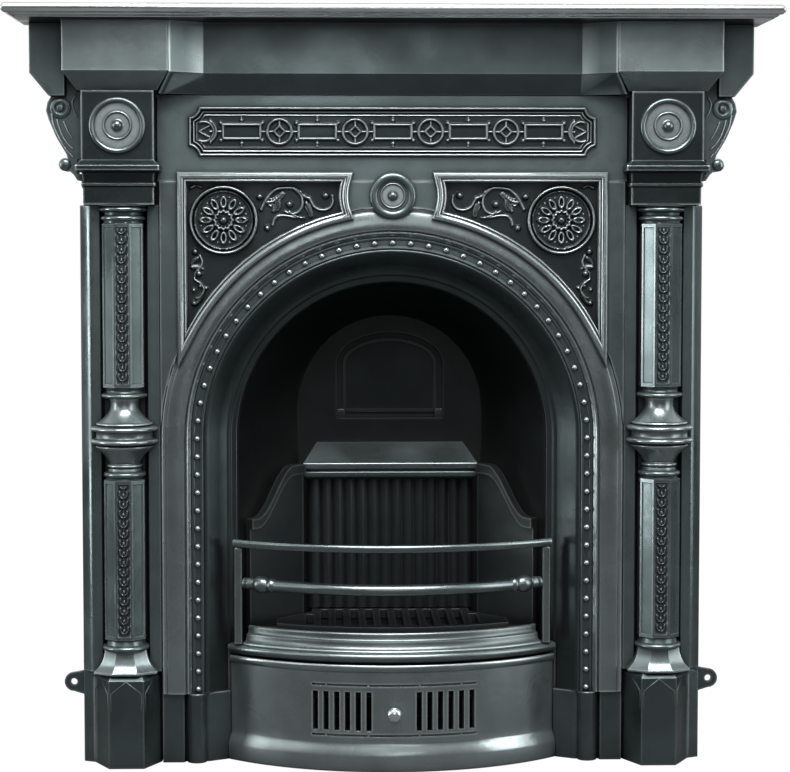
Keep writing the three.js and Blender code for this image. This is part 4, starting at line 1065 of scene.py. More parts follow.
# ---- The arch ----
@dataclass
class Arch:
    """The band, the beads and the splayed reveal round the opening."""

    spring: float = 420.0
    foot: float = 90.3
    bead_radius: float = 251.0
    bead: float = 3.9
    on_arch: int = 33
    on_leg: int = 15
    strip: float = -20.0

    def path(self, steps: int = 96) -> np.ndarray:
        """The legs and the half circle: at each station a centre and a unit direction outward.

        Args:
            steps: of the half circle.

        Returns:
            stations by 2 by 2 array of the centre and the direction.
        """
        turn = np.radians(np.linspace(180, 0, steps + 1))
        out = np.column_stack([np.cos(turn), np.sin(turn)])
        out = np.vstack([[[-1, 0]], out, [[1, 0]]])
        centre = np.zeros_like(out)
        centre[:, 1] = self.spring
        centre[[0, -1], 1] = self.foot
        return np.concatenate([centre[:, None], out[:, None]], 1)

    def carry(self, profile: np.ndarray) -> Shell:
        """Carries a profile round the arch: x and z are the centre plus the radius times the direction.

        Args:
            profile: closed outline of (radius, y) pairs.

        Returns:
            A closed shell.
        """
        stations = self.path()
        flat = stations[:, None, 0] + profile[None, :, :1] * stations[:, None, 1]
        y = np.broadcast_to(profile[None, :, 1:], flat.shape[:2] + (1,))
        return grid_shell(np.concatenate([flat[..., :1], y, flat[..., 1:]], -1), wrap_columns=True, caps=True)

    def band(self) -> np.ndarray:
        """A flat band with a quirk at its outer edge, and a double line and a slope at its inner one.

        Returns:
            Closed outline of (radius, y) pairs.
        """
        inner = [
            [259.4, -18], [259.4, -21.4], [261.2, -23.2], [262.4, -24.6], [263.4, -25.6], [264.4, -25.9],
            [265.2, -25.5], [265.7, -24.6], [266.3, -24.6], [266.9, -26.9], [267.6, -28.4], [268.8, -28.9],
        ]
        outer = [
            [289.4, -27.0], [290.2, -26.6], [290.7, -25.4], [291.5, -25.0], [294.2, -25.6], [295.4, -26.3],
            [296.5, -25.6], [296.7, -18],
        ]
        return np.array(inner + outer)

    def bead_strip(self) -> np.ndarray:
        """A shallow trough between two fine fillets, which holds the beads.

        Returns:
            Closed outline of (radius, y) pairs.
        """
        inner = [[242.6, -14], [242.6, -18.2], [244.4, -19.9], [247.2, -19.6], [248, -18.6], [254, -18.6]]
        outer = [[254.8, -19.6], [257.4, -20.2], [258.8, -19.6], [260.2, -18.6], [260.2, -14]]
        return np.array(inner + outer)

    def splay(self) -> np.ndarray:
        """The splayed reveal: a rounded lip, the splay, and two fine steps before the fire.

        Returns:
            Closed outline of (radius, y) pairs.
        """
        lip = arc((240.2, -17.2), 2.8, 0, -110, 8)
        slope = [
            [236, -17.4], [224, -5.2], [215.0, 3.6], [213.6, 4.4], [210.6, 4.6], [209.8, 5.4], [208.6, 7.4],
            [206.8, 8.2],
        ]
        steps = [[203.4, 8.4], [201.6, 9.0], [200.4, 10.4], [200, 16], [217, 16]]
        return np.vstack([[[243.0, -14]], lip, slope, steps])

    def beads(self) -> Shell:
        """A row of balls half sunk in a strip: each is the same small globe moved to its place.

        Returns:
            All the balls in one shell.
        """
        pitch = math.pi * self.bead_radius / (self.on_arch + 1)
        turn = math.pi * np.arange(1, self.on_arch + 1) / (self.on_arch + 1)
        arch = np.column_stack([np.cos(turn), np.sin(turn)]) * self.bead_radius + [0, self.spring]
        leg = self.spring - pitch * np.arange(self.on_leg)
        left = np.column_stack([np.full(self.on_leg, -self.bead_radius), leg])
        places = np.vstack([arch, left, left * [-1, 1]])
        globe = arc((0, 0.2), self.bead, -40, 90, 7)
        globe = np.vstack([[[0, -2.6]], globe])
        one = turned_forward(globe, (0, 0), self.strip, 16)
        shifts = np.column_stack([places[:, 0], np.zeros(len(places)), places[:, 1]])
        points = (one.points[None] + shifts[:, None]).reshape(-1, 3)
        count = len(one.points)
        faces = [tuple(i + k * count for i in face) for k in range(len(places)) for face in one.faces]
        return Shell(points, faces)

    def build(self) -> None:
        """Carries the three profiles round the arch and sets the beads."""
        make_piece("band", self.carry(self.band()), POLISHED, ("arch_band",), sharp=40)
        # The bead strip's darker finish is painted shade.
        make_piece("bead_strip", self.carry(self.bead_strip()), SHADED_BLACKED, ("bead_ring",), sharp=45)
        make_piece("beading", self.beads(), POLISHED, sharp=45)
        make_piece("splayed_reveal", self.carry(self.splay()), SHADED, ("reveal",), sharp=45)


# ---- Columns ----
@dataclass
class Column:
    """A column against its jamb: turned rings, octagonal shafts with sunk panels, and a knop between them."""

    side: Side
    x: float = 343.0
    y: float = -30.0
    across: float = 51.0
    niche: float = -18.3
    jamb: float = -24.3
    niche_half: float = 26.0
    panel_depth: float = 1.5
    husk_back: float = 6.0

    def plan(self, z: np.ndarray, radius: np.ndarray, eight: np.ndarray, sunk: np.ndarray) -> np.ndarray:
        """Rows of plan outlines, from the back on the left round the front.

        The distance from the axis is the radius, or on an octagon the radius over the cosine of the angle
        from the nearest facet's middle, blended by eight. Panels are sunk into the facets.

        Args:
            z: heights.
            radius: half the width at each height.
            eight: 0 where the section is round and 1 where it is an octagon.
            sunk: 1 where the facets' panels are sunk.

        Returns:
            rows by columns by 3 array, closed round the back.
        """
        facet = math.tan(math.pi / 8)
        share = np.array([-1, -0.93, -0.78, -0.74, -0.68, -0.4, 0, 0.4, 0.68, 0.74, 0.78, 0.93]) * facet
        within = np.array([0, 0, 0, 0.55, 1, 1, 1, 1, 1, 0.55, 0, 0])
        turn = np.arctan(share)
        middles = np.radians(np.array([180, 225, 270, 315, 360]))
        angle = (middles[:, None] + turn[None]).ravel()
        off = np.tile(turn, len(middles))
        sink = np.tile(within, len(middles))
        front = (angle >= math.pi) & (angle <= 2 * math.pi + 1e-9)
        angle, off, sink = angle[front], off[front], sink[front]
        away = radius[:, None] * (1 + eight[:, None] * (1 / np.cos(off)[None] - 1))
        away = away - self.panel_depth * (eight * sunk)[:, None] * sink[None]
        x = away * np.cos(angle)[None]
        y = self.y + away * np.sin(angle)[None]
        back = np.where(radius < self.niche_half, self.niche, self.jamb)
        left = np.column_stack([x[:, 0], back])
        right = np.column_stack([x[:, -1], back])
        x = np.column_stack([left[:, :1], x, right[:, :1]]) + self.x
        y = np.column_stack([left[:, 1:], y, right[:, 1:]])
        return np.stack([x, y, np.broadcast_to(z[:, None], x.shape)], -1)

    def shell(self, rows: list) -> Shell:
        """Lofts the column's plan through rows.

        Args:
            rows: (z, radius, eight, sunk) from the lowest up.

        Returns:
            A closed shell, on the column's own side.
        """
        table = np.array(rows, float)
        grid = self.plan(table[:, 0], table[:, 1], table[:, 2], table[:, 3])
        return grid_shell(grid, wrap_columns=True, caps=True).mirrored(self.side)

    @staticmethod
    def ring(low: float, high: float, base: float, bulge: float) -> list:
        """A half-round ring between two heights: z by the sine and the radius by the cosine of a half turn.

        Args:
            low: the lower height.
            high: the upper height.
            base: the radius at both.
            bulge: how far the middle stands out.

        Returns:
            Rows for the loft.
        """
        turn = np.radians(np.linspace(-90, 90, 13))
        mid, half = (low + high) / 2, (high - low) / 2
        return [(mid + half * math.sin(a), base + bulge * math.cos(a), 0, 0) for a in turn]

    @staticmethod
    def sweep(start: tuple, end: tuple, bow: float, steps: int = 10) -> list:
        """A stretch from one radius to another, bowed in the middle by a half sine.

        Args:
            start: (z, radius) at the foot.
            end: (z, radius) at the top.
            bow: how far the middle stands out, or in where it is negative.
            steps: rows less one.

        Returns:
            Rows for the loft.
        """
        t = np.linspace(0, 1, steps + 1)
        z = start[0] + (end[0] - start[0]) * t
        r = start[1] + (end[1] - start[1]) * t + bow * np.sin(math.pi * t)
        return [(a, b, 0, 0) for a, b in zip(z, r)]

    def octagon(self, low: float, high: float, margin: float = 5.0) -> list:
        """The octagonal shaft between two heights, with its panels.

        Args:
            low: the lower height.
            high: the upper height.
            margin: from each end to the panels.

        Returns:
            Rows for the loft.
        """
        half = self.across / 2
        rows = [(low, half - 1.6, 1, 0), (low + 1, half, 1, 0)]
        rows += [(low + margin, half, 1, 0), (low + margin + 0.8, half, 1, 1)]
        mirrored = [(high - (z - low), r, e, s) for z, r, e, s in reversed(rows)]
        return rows + mirrored

    @staticmethod
    def plain(*rows: tuple) -> list:
        """Round rows of (z, radius) for the loft."""
        return [(z, radius, 0, 0) for z, radius in rows]

    def upper(self) -> list:
        """The upper shaft with the capital's rings above it and a ring at its foot.

        Returns:
            Rows for the loft.
        """
        foot = self.plain((473.4, 24)) + self.ring(474.2, 479.8, 25, 4.2) + self.plain((480.6, 23.4))
        shaft = self.sweep((481, 23), (486.4, 24), -1.2, 5) + self.octagon(487, 696) + self.plain((697, 24.2))
        necking = self.ring(699.4, 705, 24.8, 3.2) + self.plain((705.8, 23.2), (709.4, 23.6))
        capital = self.ring(710.4, 716.4, 25.4, 4.3) + self.plain((716.8, 26.4), (717.4, 29.4), (718.9, 31))
        return foot + shaft + necking + capital

    def middle(self) -> list:
        """The knop: an inverted cup, two rings either side of a groove, and a bell that sweeps up from them.

        Returns:
            Rows for the loft.
        """
        foot = self.plain((384.2, 20)) + self.ring(385, 389.6, 19.4, 3.0)
        cup = self.sweep((390.4, 19), (408, 32.5), -1.6)
        lip = self.plain((409, 33.6)) + self.ring(410.2, 413.8, 34, 2.6) + self.plain((414.4, 34.6))
        groove = self.plain((422.6, 36.6), (424, 35.8), (429.6, 35.8), (431, 36.6))
        rings = self.ring(415.6, 421.8, 38.6, 4.2) + groove + self.ring(431.8, 437.6, 38.6, 4.2)
        brim = self.plain((438.4, 35)) + self.ring(439, 442.4, 33.6, 2.4) + self.plain((443.2, 32.6))
        bell = self.sweep((444, 31.5), (470.6, 18), -5.2, 16) + self.plain((472.8, 18.6))
        return foot + cup + lip + rings + brim + bell

    def lower(self) -> list:
        """The lower shaft, with a ring below its panels and one above them.

        Returns:
            Rows for the loft.
        """
        foot = self.plain((149, 25.6)) + self.ring(150.2, 156.6, 26.2, 3.4)
        shaft = self.plain((157.4, 24.8), (160, 24), (163, 23.6)) + self.octagon(164, 370)
        top = self.plain((371.4, 23.2)) + self.ring(372.6, 379.6, 22.8, 4.0)
        return foot + shaft + top + self.plain((380.4, 21.6), (383.6, 20.6))

    def base(self) -> Shell:
        """The flared base: an octagon whose rows of (z, half width, half depth) are drawn out in x.

        Returns:
            A closed shell.
        """
        foot = [[119.5, 39.2, 26.0], [120.6, 40.2, 26.8], [122.2, 40.2, 26.8], [123.4, 38.6, 25.6]]
        flare = [[127, 35.2, 22.2], [131, 32.2, 19.6], [136, 29.6, 17.8], [142, 27.6, 16.6]]
        rows = np.array(foot + flare + [[148, 26.6, 16.2], [150.4, 26.2, 16.0]])
        one, none = np.ones(len(rows)), np.zeros(len(rows))
        grid = self.plan(rows[:, 0], rows[:, 2], one, none)
        stretch = (rows[:, 1] / rows[:, 2])[:, None]
        grid[..., 0] = self.x + (grid[..., 0] - self.x) * stretch
        return grid_shell(grid, wrap_columns=True, caps=True).mirrored(self.side)

    def husks(self, low: float, high: float) -> Shell:
        """A drop of husks on the front facet: a chain of cups, each with a bud, repeated at an even pitch.

        Args:
            low: the drop's foot.
            high: its top.

        Returns:
            An open relief.
        """
        half, step, pitch = 7.6, 0.42, 12.4
        x, z = np.meshgrid(np.arange(-half, half + 0.01, step), np.arange(low, high, step))
        cell = (z - low) % pitch - pitch / 2
        round_cup = np.hypot(x / 5.4, np.minimum(cell - 1.2, 0) / 5.6)
        cup = ridge(np.abs(round_cup - 0.86) * 4.6, 1.15, 2.0) * (cell < 4.6)
        bud = ridge(np.hypot(x / 2.2, (cell + 0.4) / 3.6), 1, 2.2)
        tips = ridge(np.hypot(np.abs(x) - 4.8, cell - 4.4), 1.5, 1.9)
        stem = ridge(x, 0.8, 1.0)
        tall = np.max([cup, bud, tips, stem, 0 * x], axis=0)
        front = self.y - self.across / 2 + self.panel_depth - 0.1
        return sheet(x + self.x, z, front - tall).mirrored(self.side)

    def build(self) -> None:
        """Lofts the two shafts, the knop and the base, and sets the husks."""
        word = self.side.word
        for name, rows, finish, node, sharp in (
            ("shaft_upper", self.upper(), BLACKED, "upper_shaft", 30),
            ("knop_turned", self.middle(), POLISHED, "knop", 45),
            ("shaft_lower", self.lower(), BLACKED, "lower_shaft", 30),
        ):
            make_piece(f"{name}_{word}", self.shell(rows), finish, (f"{node}_{word}",), sharp=sharp)
        # The flared base's lighter finish is a painted highlight.
        make_piece(f"shaft_base_{word}", self.base(), LIT_BLACKED, sharp=30)
        back = self.y - self.across / 2 + self.panel_depth + self.husk_back
        make_piece(f"husks_upper_{word}", self.husks(494.0, 690.0), SHADED, sharp=70, back=back)
        make_piece(f"husks_lower_{word}", self.husks(171.0, 363.5), SHADED, sharp=70, back=back)


# ---- Small ornament on the sides and the plinths ----
@dataclass
class Consoles:
    """The scrolls beside the cap blocks: a volute with an eye, a swept leaf and a ball at the foot."""

    front: float = -36.0
    eye: tuple = (420.0, 841.0)
    ball: tuple = (414.5, 770.0)
    ball_radius: float = 7.4
    volute: tuple = (5.2, 11.6)
    step: float = 0.7

    def relief(self) -> Shell:
        """The volute and the leaf as strokes: the volute's radius grows evenly over a turn and a half.

        Returns:
            An open relief, without the ground between the strokes.
        """
        x, z = np.meshgrid(np.arange(396, 438, self.step), np.arange(762, 872, self.step))
        turn = np.radians(np.linspace(-200, 330, 26))
        away = np.linspace(*self.volute, len(turn))
        spiral = np.column_stack([np.cos(turn), np.sin(turn)]) * away[:, None] + self.eye
        tall = stroke(x, z, spiral, 1.2, 1.7, 2.4)
        tall = np.maximum(tall, dome(x, z, self.eye, 4.2, 4.4))
        leaves = [
            ([(431, 833), (428, 818), (421, 802), (413, 788), (405, 780)], 1.8, 1.3),
            ([(424, 826), (420, 812), (413, 798), (405, 790)], 1.6, 1.1),
            ([(416, 824), (411, 812), (405, 802)], 1.4, 1.0),
            ([(401, 856), (405, 848), (403, 838), (399, 830)], 1.5, 1.0),
        ]
        for points, start, end in leaves:
            tall = np.maximum(tall, stroke(x, z, points, start, end, 2.2))
        return sheet(x, z, self.front + 0.5 - tall, tall > 0.06)

    def build(self) -> None:
        """Sets the relief and the ball on each console."""
        globe = np.vstack([[[0, -3]], arc((0, 0), self.ball_radius, -25, 90, 10) * [1, 0.6]])
        ball, relief = turned_forward(globe, self.ball, self.front), self.relief()
        for side in Side:
            leaf = relief.mirrored(side)
            make_piece(f"console_leaf_{side.word}", leaf, BLACKED, sharp=70, back=self.front + 4)
            make_piece(f"console_ball_{side.word}", ball.mirrored(side), BLACKED, sharp=60)


@dataclass
class PlinthGables:
    """The gable drawn at the head of each facet of the plinths, as a fine raised line."""

    top: float = 112.0
    drop: float = 15.5
    inset: float = 3.2
    foot: float = 22.0
    section: tuple = (0.75, 0.6)
    corners: tuple = ((298.3, -15.0), (318.5, -57.0), (363.5, -57.0), (385.0, -15.0))

    def line(self, a: tuple, b: tuple) -> Shell:
        """One facet's gable: a half-round line from eave to apex to eave, with a short foot down each arris.

        Args:
            a: (x, y) of the facet's one arris.
            b: (x, y) of its other arris.

        Returns:
            A closed shell.
        """
        start, run = np.array(a), np.array(b) - np.array(a)
        length = np.linalg.norm(run)
        along = run / length
        out = np.array([along[1], -along[0]])
        eave = self.top - self.drop
        left = [(self.inset, eave - self.foot), (self.inset, eave)]
        right = [(length - self.inset, eave), (length - self.inset, eave - self.foot)]
        path = np.array([*left, (length / 2, self.top), *right])
        turn = np.linspace(0, 2 * math.pi, 9)[:-1]
        profile = np.column_stack([np.cos(turn), np.sin(turn)]) * self.section
        flat = path[:, None] + mitred(path, False)[:, None] * profile[None, :, :1]
        lift = np.broadcast_to(profile[None, :, 1], flat.shape[:2])
        plan = start + flat[..., :1] * along + lift[..., None] * out
        return grid_shell(np.concatenate([plan, flat[..., 1:]], -1), wrap_columns=True, caps=True)

    def build(self) -> None:
        """Draws the gables on the three facets of each plinth."""
        shell = joined([self.line(a, b) for a, b in zip(self.corners, self.corners[1:])])
        for side in Side:
            make_piece(f"plinth_gables_{side.word}", shell.mirrored(side), SHADED, sharp=80)


@dataclass
class Joints:
    """The narrow flanges behind the joints between castings, which keep the light out.

    Args:
        across: pairs of a bar's lower and upper corners.
        beside: the same, for the right-hand side.
        corner: the same, of the strip that closes the flue's corner in front of the flap.
    """

    across: tuple = (((-297, -17.6, 850), (297, -13, 872)), ((-262, -17.6, 742), (262, -14, 756)))
    beside: tuple = (
        ((290, -17.4, 700), (308, -12, 880)),
        ((300, -17.4, 712), (394, -13, 726)),
        ((298, -30, 855), (394, -25, 868)),
        ((386, -16, 740), (396, -11, 880)),
        ((200, 1.5, 0.5), (214, 5, 150)),
        ((292, -15, 2), (302, -10, 700)),
    )
    corner: tuple = ((60, 114.4, 435.8), (71.3, 116.9, 448.5))

    def build(self) -> None:
        """Sets each flange as a rounded bar."""
        shell = joined([rounded_bar(low, high) for low, high in self.across])
        make_piece("joint_flanges_across", shell, CARVED, sharp=50)
        shell = joined([rounded_bar(low, high) for low, high in self.beside])
        corner = rounded_bar(*self.corner, radius=1.2)
        for side in Side:
            make_piece(f"joint_flanges_{side.word}", shell.mirrored(side), CARVED, sharp=50)
            make_piece(f"flue_corner_{side.word}", corner.mirrored(side), SOOTED, sharp=50)


# ---- The front bars, the cover and its knob ----
@dataclass
class Fender:
    """The bowed bars, the cover over the ash pan and the slider's knob."""

    bar_half: float = 204.5
    bar_y: float = -11.0
    bar_bow: float = 64.0
    bar_low: float = 279.3
    bar_high: float = 289.0
    turned_half: float = 190.5
    turned_bow: float = 70.0
    turned_z: float = 232.0
    turned_radius: float = 7.2
    bow_radius: float = 305.14
    bow_centre: float = 222.14
    cover_half: float = 209.2
    slot_first: float = 32.0
    slot_pitch: float = 13.6
    slot_half: float = 3.4
    slots_a_side: int = 6
    slot_low: float = 52.0
    slot_high: float = 102.0
    dashes: tuple = ((0.0, 30.0), (35.0, 84.5), (89.0, 104.5))
    dash_rows: tuple = ((44.8, 47.4), (109.2, 111.8))
    dash_depth: float = 2.2
    thickness: float = 5.6
    rounding: float = 0.5
    seat_half: float = 150.0
    cove_half: float = 192.8
    knob_z: float = 75.5
    steps: int = 241

    def bar_path(self, half: float, bow: float, z: float, steps: int) -> np.ndarray:
        """A parabola in plan: y falls from the ends by the bow times 1 minus the square of x over half width.

        Args:
            half: half the width.
            bow: how far the middle stands out.
            z: the height.
            steps: points on the path.

        Returns:
            steps by 3 array.
        """
        t = np.linspace(-1, 1, steps)
        return np.column_stack([half * t, self.bar_y - bow * (1 - t**2), np.full(steps, z)])

    def top_section(self) -> np.ndarray:
        """A flat bar with a rounded top and a small quirk below the roll.

        Returns:
            Closed outline of (outward, up) pairs.
        """
        height = self.bar_high - self.bar_low
        roll = arc((0, height - 4.2), 4.2, -25, 205, 14)
        return np.vstack([roll, [[-3.4, 0.8], [-2.6, 0]], [[2.6, 0], [3.4, 0.8]]])

    def turned_radii(self, t: np.ndarray) -> np.ndarray:
        """The turned bar's radius: the plain bar, with three rings that rise as rounded bumps near each end.

        Args:
            t: places along the bar, from -1 to 1.

        Returns:
            A radius for each place.
        """
        radius = np.full_like(t, self.turned_radius)
        for place, size, width in ((0.967, 7.8, 0.021), (0.888, 11.0, 0.046), (0.815, 9.2, 0.021)):
            bump = np.sqrt(np.clip(1 - ((np.abs(t) - place) / width) ** 2, 0, 1))
            radius = np.where(bump > 0, 5.4 + (size - 5.4) * bump, radius)
        return radius

    def bow(self, half: float, steps: int) -> np.ndarray:
        """The cover's bow in plan: a circle about the bow's centre between x = -half and half.

        Args:
            half: half the width.
            steps: points on the path.

        Returns:
            steps by 3 array.
        """
        widest = math.asin(half / self.bow_radius)
        turn = np.linspace(-widest, widest, steps)
        x, y = self.bow_radius * np.sin(turn), self.bow_centre - self.bow_radius * np.cos(turn)
        return np.column_stack([x, y, np.zeros(steps)])

    def rail(self) -> None:
        """The rail that carries the bars: a torus below, and a cove with two fillets between the posts."""
        torus = arc((0.4, 146.2), 5.6, -62, 78, 14)
        lower = np.vstack([[[-14, 152.6], [-14, 139.5], [1, 139.5]], torus, [[0.2, 152.2], [-1, 152.6]]])
        fillet = [[-14, 152.4], [0.4, 152.4], [0.4, 153.4], [-0.2, 154.4]]
        cove = [[-2.4, 155.4], [-4.2, 157.0], [-5.4, 159.2], [-5.9, 161.8], [-6.0, 164.4], [-6.2, 165.2]]
        swell = [[-6.9, 165.6], [-8.0, 165.8], [-9.2, 166.6], [-9.9, 168.2], [-10.2, 170.6], [-10.2, 173.6]]
        top = [[-10.5, 174.6], [-11.2, 175.6], [-12.2, 176.0], [-14, 176.0]]
        upper = np.array(fillet + cove + swell + top)
        seat = np.array([[-34, 162.7], [-13, 162.7], [-13, 168.7], [-34, 168.7]])
        runs = ((lower, self.cover_half, 81), (upper, self.cove_half, 77), (seat, self.seat_half, 41))
        shell = joined([along_curve(profile, self.bow(half, steps)) for profile, half, steps in runs])
        # The rail's darker finish is painted shade.
        make_piece("moulded_rail", shell, SHADED_POLISHED, ("apron_rail",), sharp=42)

    def knob(self) -> np.ndarray:
        """The knob's profile: a waisted neck and a flattened ball.

        Returns:
            (radius, forward) pairs.
        """
        ball = arc((0, 0), 9.4, -52, 90, 14) * [1, 0.72]
        ball[:, 1] += 12.2
        return np.vstack([[[0, -2], [5.2, -2], [5.2, 1.2], [4.2, 2.6], [4.0, 4.0]], ball])

    def cover_grid(self) -> tuple:
        """The cover's outer face over columns of x and rows of z that meet every slot's and dash's edge.

        Returns:
            x, z, radius and the mask of cells that stay.
        """
        slots = self.slot_first + self.slot_pitch * np.arange(self.slots_a_side)
        slots = np.concatenate([-slots[::-1], slots])
        ends = np.ravel(self.dashes)
        marks = np.concatenate([slots - self.slot_half, slots + self.slot_half, ends, -ends])
        even = np.linspace(-self.cover_half, self.cover_half, 141)
        columns = np.unique(np.round(np.concatenate([even, marks]), 3))
        apart = np.concatenate([[True], np.diff(columns) > 0.35])
        columns = columns[apart | np.isin(columns, np.round(marks, 3))]
        foot = [[5, 0.6], [5.4, 3], [5.4, 20], [4.9, 22.5], [4.2, 25], [3.2, 28], [1.6, 31.4], [0.4, 34.5]]
        heights = (37, 44.6, 45.0, 47.2, 47.6, 52, 60, 77, 94, 102, 109.0, 109.4, 111.6, 112.0, 120, 127)
        roll = [[1.2, 127.6], [2.3, 129], [3, 131.4], [3.1, 134], [2.6, 136.2], [1.6, 137]]
        section = np.array(foot + [[0, height] for height in heights] + roll)
        x, z = np.meshgrid(columns, section[:, 1])
        radius = np.repeat(section[:, :1], len(columns), 1) + self.bow_radius
        dashed = np.any([(np.abs(x) >= low) & (np.abs(x) <= high) for low, high in self.dashes], axis=0)
        groove = np.any([(z > low) & (z < high) for low, high in self.dash_rows], axis=0)
        radius = radius - self.dash_depth * (dashed & groove)
        middle_x = (columns[1:] + columns[:-1]) / 2
        middle_z = (section[1:, 1] + section[:-1, 1]) / 2
        in_x = (np.abs(middle_x[None, :, None] - slots) < self.slot_half).any(2)
        in_z = (middle_z > self.slot_low) & (middle_z < self.slot_high)
        return x, z, radius, ~(in_x & in_z[:, None])

    def cover(self) -> None:
        """Bends the grid round the bow, leaves the slots open, and gives it thickness."""
        x, z, radius, stays = self.cover_grid()
        turn = np.arcsin(x / self.bow_radius)
        grid = np.stack([radius * np.sin(turn), self.bow_centre - radius * np.cos(turn), z], -1)
        shell = grid_shell(grid)
        shell.faces = [face for face, stay in zip(shell.faces, stays.ravel()) if stay]
        made = make_piece("cover", shell, POLISHED, ("ash_cover",), body="cover", sharp=50)
        thick = made.modifiers.new("thickness", "SOLIDIFY")
        thick.thickness = self.thickness * MM
        thick.offset = -1
        soft = made.modifiers.new("rounding", "BEVEL")
        soft.width = self.rounding * MM
        soft.segments = 2
        soft.limit_method = "ANGLE"
        soft.angle_limit = math.radians(50)

    def build(self) -> None:
        """Makes the bars, the cover and the knob."""
        top = along_curve(self.top_section(), self.bar_path(self.bar_half, self.bar_bow, self.bar_low, 65))
        # The bars' darker finish is painted shade.
        make_piece("bowed_top_bar", top, SHADED_POLISHED, ("top_bar",), body="front_bars", sharp=45)
        path = self.bar_path(self.turned_half, self.turned_bow, self.turned_z, self.steps)
        turn = np.linspace(0, 2 * math.pi, 25)[:-1]
        circle = np.column_stack([np.cos(turn), np.sin(turn)])
        radii = self.turned_radii(np.linspace(-1, 1, self.steps))
        bar = along_curve(circle[None] * radii[:, None, None], path)
        make_piece("bowed_turned_bar", bar, SHADED_POLISHED, ("turned_bar",), body="front_bars", sharp=50)
        self.rail()
        self.cover()
        knob = turned_forward(self.knob(), (0, self.knob_z), self.bow_centre - self.bow_radius, 40)
        make_piece("knob", knob, SHELF, ("slider_knob",), body="slider", sharp=50)


# ---- Studio ----
@dataclass(frozen=True)
class Softbox:
    """A rectangular softbox.

    Args:
        name: its name.
        at: its place, in metres.
        size: its width and height, in metres.
        radiance: how bright its face is.
        target: the point that it faces.
    """

    name: str
    at: tuple
    size: tuple
    radiance: float
    target: tuple = (0, 0, 0.5)

    def hang(self) -> None:
        """Adds the light, whose power is pi times its radiance and its area."""
        data = bpy.data.lights.new(self.name, "AREA")
        data.shape = "RECTANGLE"
        data.size, data.size_y = self.size
        data.energy = self.radiance * math.pi * self.size[0] * self.size[1]
        lamp = bpy.data.objects.new(self.name, data)
        bpy.context.scene.collection.objects.link(lamp)
        lamp.location = self.at
        lamp.rotation_mode = "QUATERNION"
        lamp.rotation_quaternion = (Vector(self.target) - Vector(self.at)).to_track_quat("-Z", "Y")


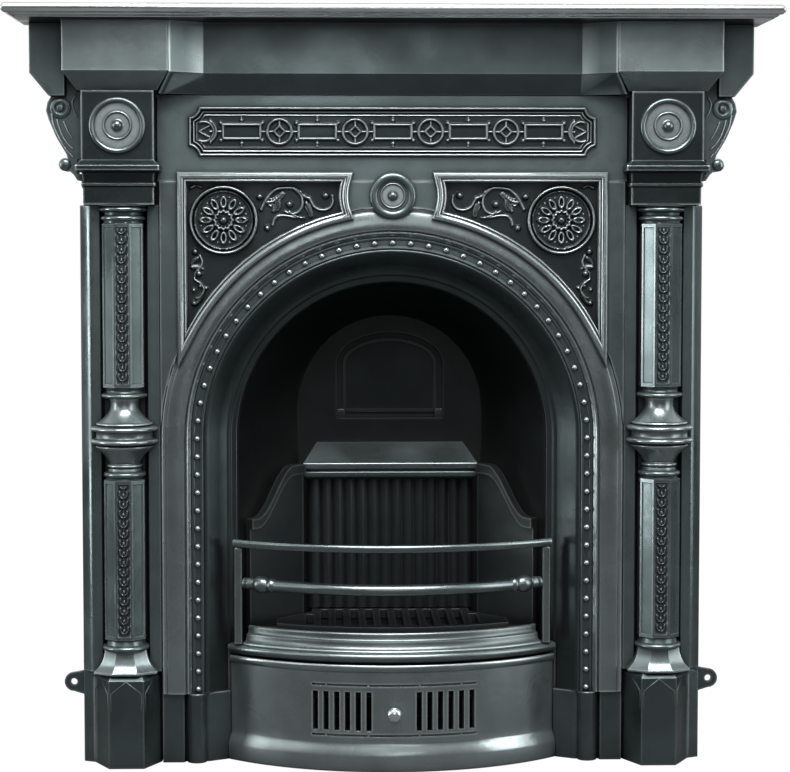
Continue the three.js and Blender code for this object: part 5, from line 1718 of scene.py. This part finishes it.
@dataclass
class Studio:
    """The camera at the photograph's place, a pale floor, softboxes and a white surround."""

    camera: tuple = (-0.09, -2.98, 0.679)
    lens: float = 105.27
    yaw: float = 1.80
    pitch: float = 3.7
    floor_half: float = 4.0
    floor_z: float = -0.001
    floor_grey: float = 0.12
    floor_glow: float = 0.92
    sky_low: float = 0.05
    sky_high: float = 0.6
    softboxes: tuple = (
        Softbox("key", (-2.2, -1.7, 1.5), (0.6, 1.6), 1.5),
        Softbox("fill", (2.3, -1.2, 1.1), (0.9, 2.0), 3.2),
        Softbox("top", (0.0, -1.3, 2.4), (1.7, 1.2), 12.0),
        Softbox("left strip", (-2.6, -0.5, 0.7), (0.5, 1.6), 7.0, (0, -0.1, 0.5)),
        Softbox("right strip", (2.6, -0.5, 0.7), (0.4, 1.6), 1.8, (0, -0.1, 0.5)),
        Softbox("front", (-0.02, -3.4, 0.8), (0.7, 0.4), 2.0, (0, 0, 0.7)),
        Softbox("high front", (0.1, -3.4, 1.3), (1.8, 0.45), 1.3, (0, 0, 0.8)),
    )

    def shoot(self) -> None:
        """Makes the camera, turned from straight ahead by its yaw to the right and its pitch down."""
        data = bpy.data.cameras.new("camera")
        data.lens = self.lens
        data.sensor_width = 36
        camera = bpy.data.objects.new("camera", data)
        bpy.context.scene.collection.objects.link(camera)
        yaw, pitch = math.radians(self.yaw), math.radians(self.pitch)
        look = Vector((math.sin(yaw) * math.cos(pitch), math.cos(yaw) * math.cos(pitch), -math.sin(pitch)))
        camera.location = self.camera
        camera.rotation_mode = "QUATERNION"
        camera.rotation_quaternion = look.to_track_quat("-Z", "Y")
        bpy.context.scene.camera = camera

    def floor(self) -> None:
        """Lays a pale floor, white to the camera where no shadow falls."""
        mesh = bpy.data.meshes.new("floor")
        corners = [(x * self.floor_half, y * self.floor_half, self.floor_z) for x, y in SQUARE]
        mesh.from_pydata(corners, [], [(0, 1, 2, 3)])
        floor = bpy.data.objects.new("floor", mesh)
        bpy.context.scene.collection.objects.link(floor)
        paint = bpy.data.materials.new("pale_floor")
        paint.use_nodes = True
        wiring = Wiring(paint.node_tree)
        seen = wiring.put("LightPath").outputs["Is Camera Ray"]
        wiring.feed(
            paint.node_tree.nodes["Principled BSDF"],
            {
                "Base Color": (self.floor_grey, self.floor_grey, self.floor_grey, 1),
                "Roughness": 0.9,
                "Specular IOR Level": 0.1,
                "Emission Color": (1, 1, 1, 1),
                "Emission Strength": wiring.worked("MULTIPLY", seen, self.floor_glow),
            },
        )
        mesh.materials.append(paint)

    def world(self) -> None:
        """A white surround for the camera and what the iron mirrors behind it, and a grey room before it."""
        world = bpy.data.worlds.new("studio")
        bpy.context.scene.world = world
        world.use_nodes = True
        wiring = Wiring(world.node_tree)
        way = wiring.put("SeparateXYZ", {0: wiring.put("TexCoord").outputs["Generated"]}).outputs
        ray = wiring.put("LightPath").outputs
        room = {"Value": way["Z"], "From Max": 0.6, "To Min": self.sky_low, "To Max": self.sky_high}
        room = wiring.put("MapRange", room).outputs["Result"]
        mirrored = wiring.worked("MULTIPLY", ray["Is Glossy Ray"], wiring.stretched(way["Y"], 0.2, 0.5))
        white = wiring.worked("MAXIMUM", ray["Is Camera Ray"], mirrored)
        strength = wiring.blended("FLOAT", room, 1.0, white)
        wiring.feed(world.node_tree.nodes["Background"], {"Color": (1, 1, 1, 1), "Strength": strength})

    def build(self) -> None:
        """Sets up the whole studio."""
        bpy.context.scene.view_settings.view_transform = "Standard"
        self.shoot()
        self.floor()
        self.world()
        for softbox in self.softboxes:
            softbox.hang()
        LOG.info("studio ready")


def main() -> None:
    """Builds every piece in order."""
    logging.basicConfig(level=logging.INFO, format="%(message)s")
    upright = [Studio(), Mantel(), Fret(), Roundels(), Spandrels(), Arch(), *(Column(side) for side in Side)]
    for part in (*upright, Consoles(), PlinthGables(), Joints(), Fender()):
        part.build()
    Softened().dress()


if __name__ == "__main__":
    main()
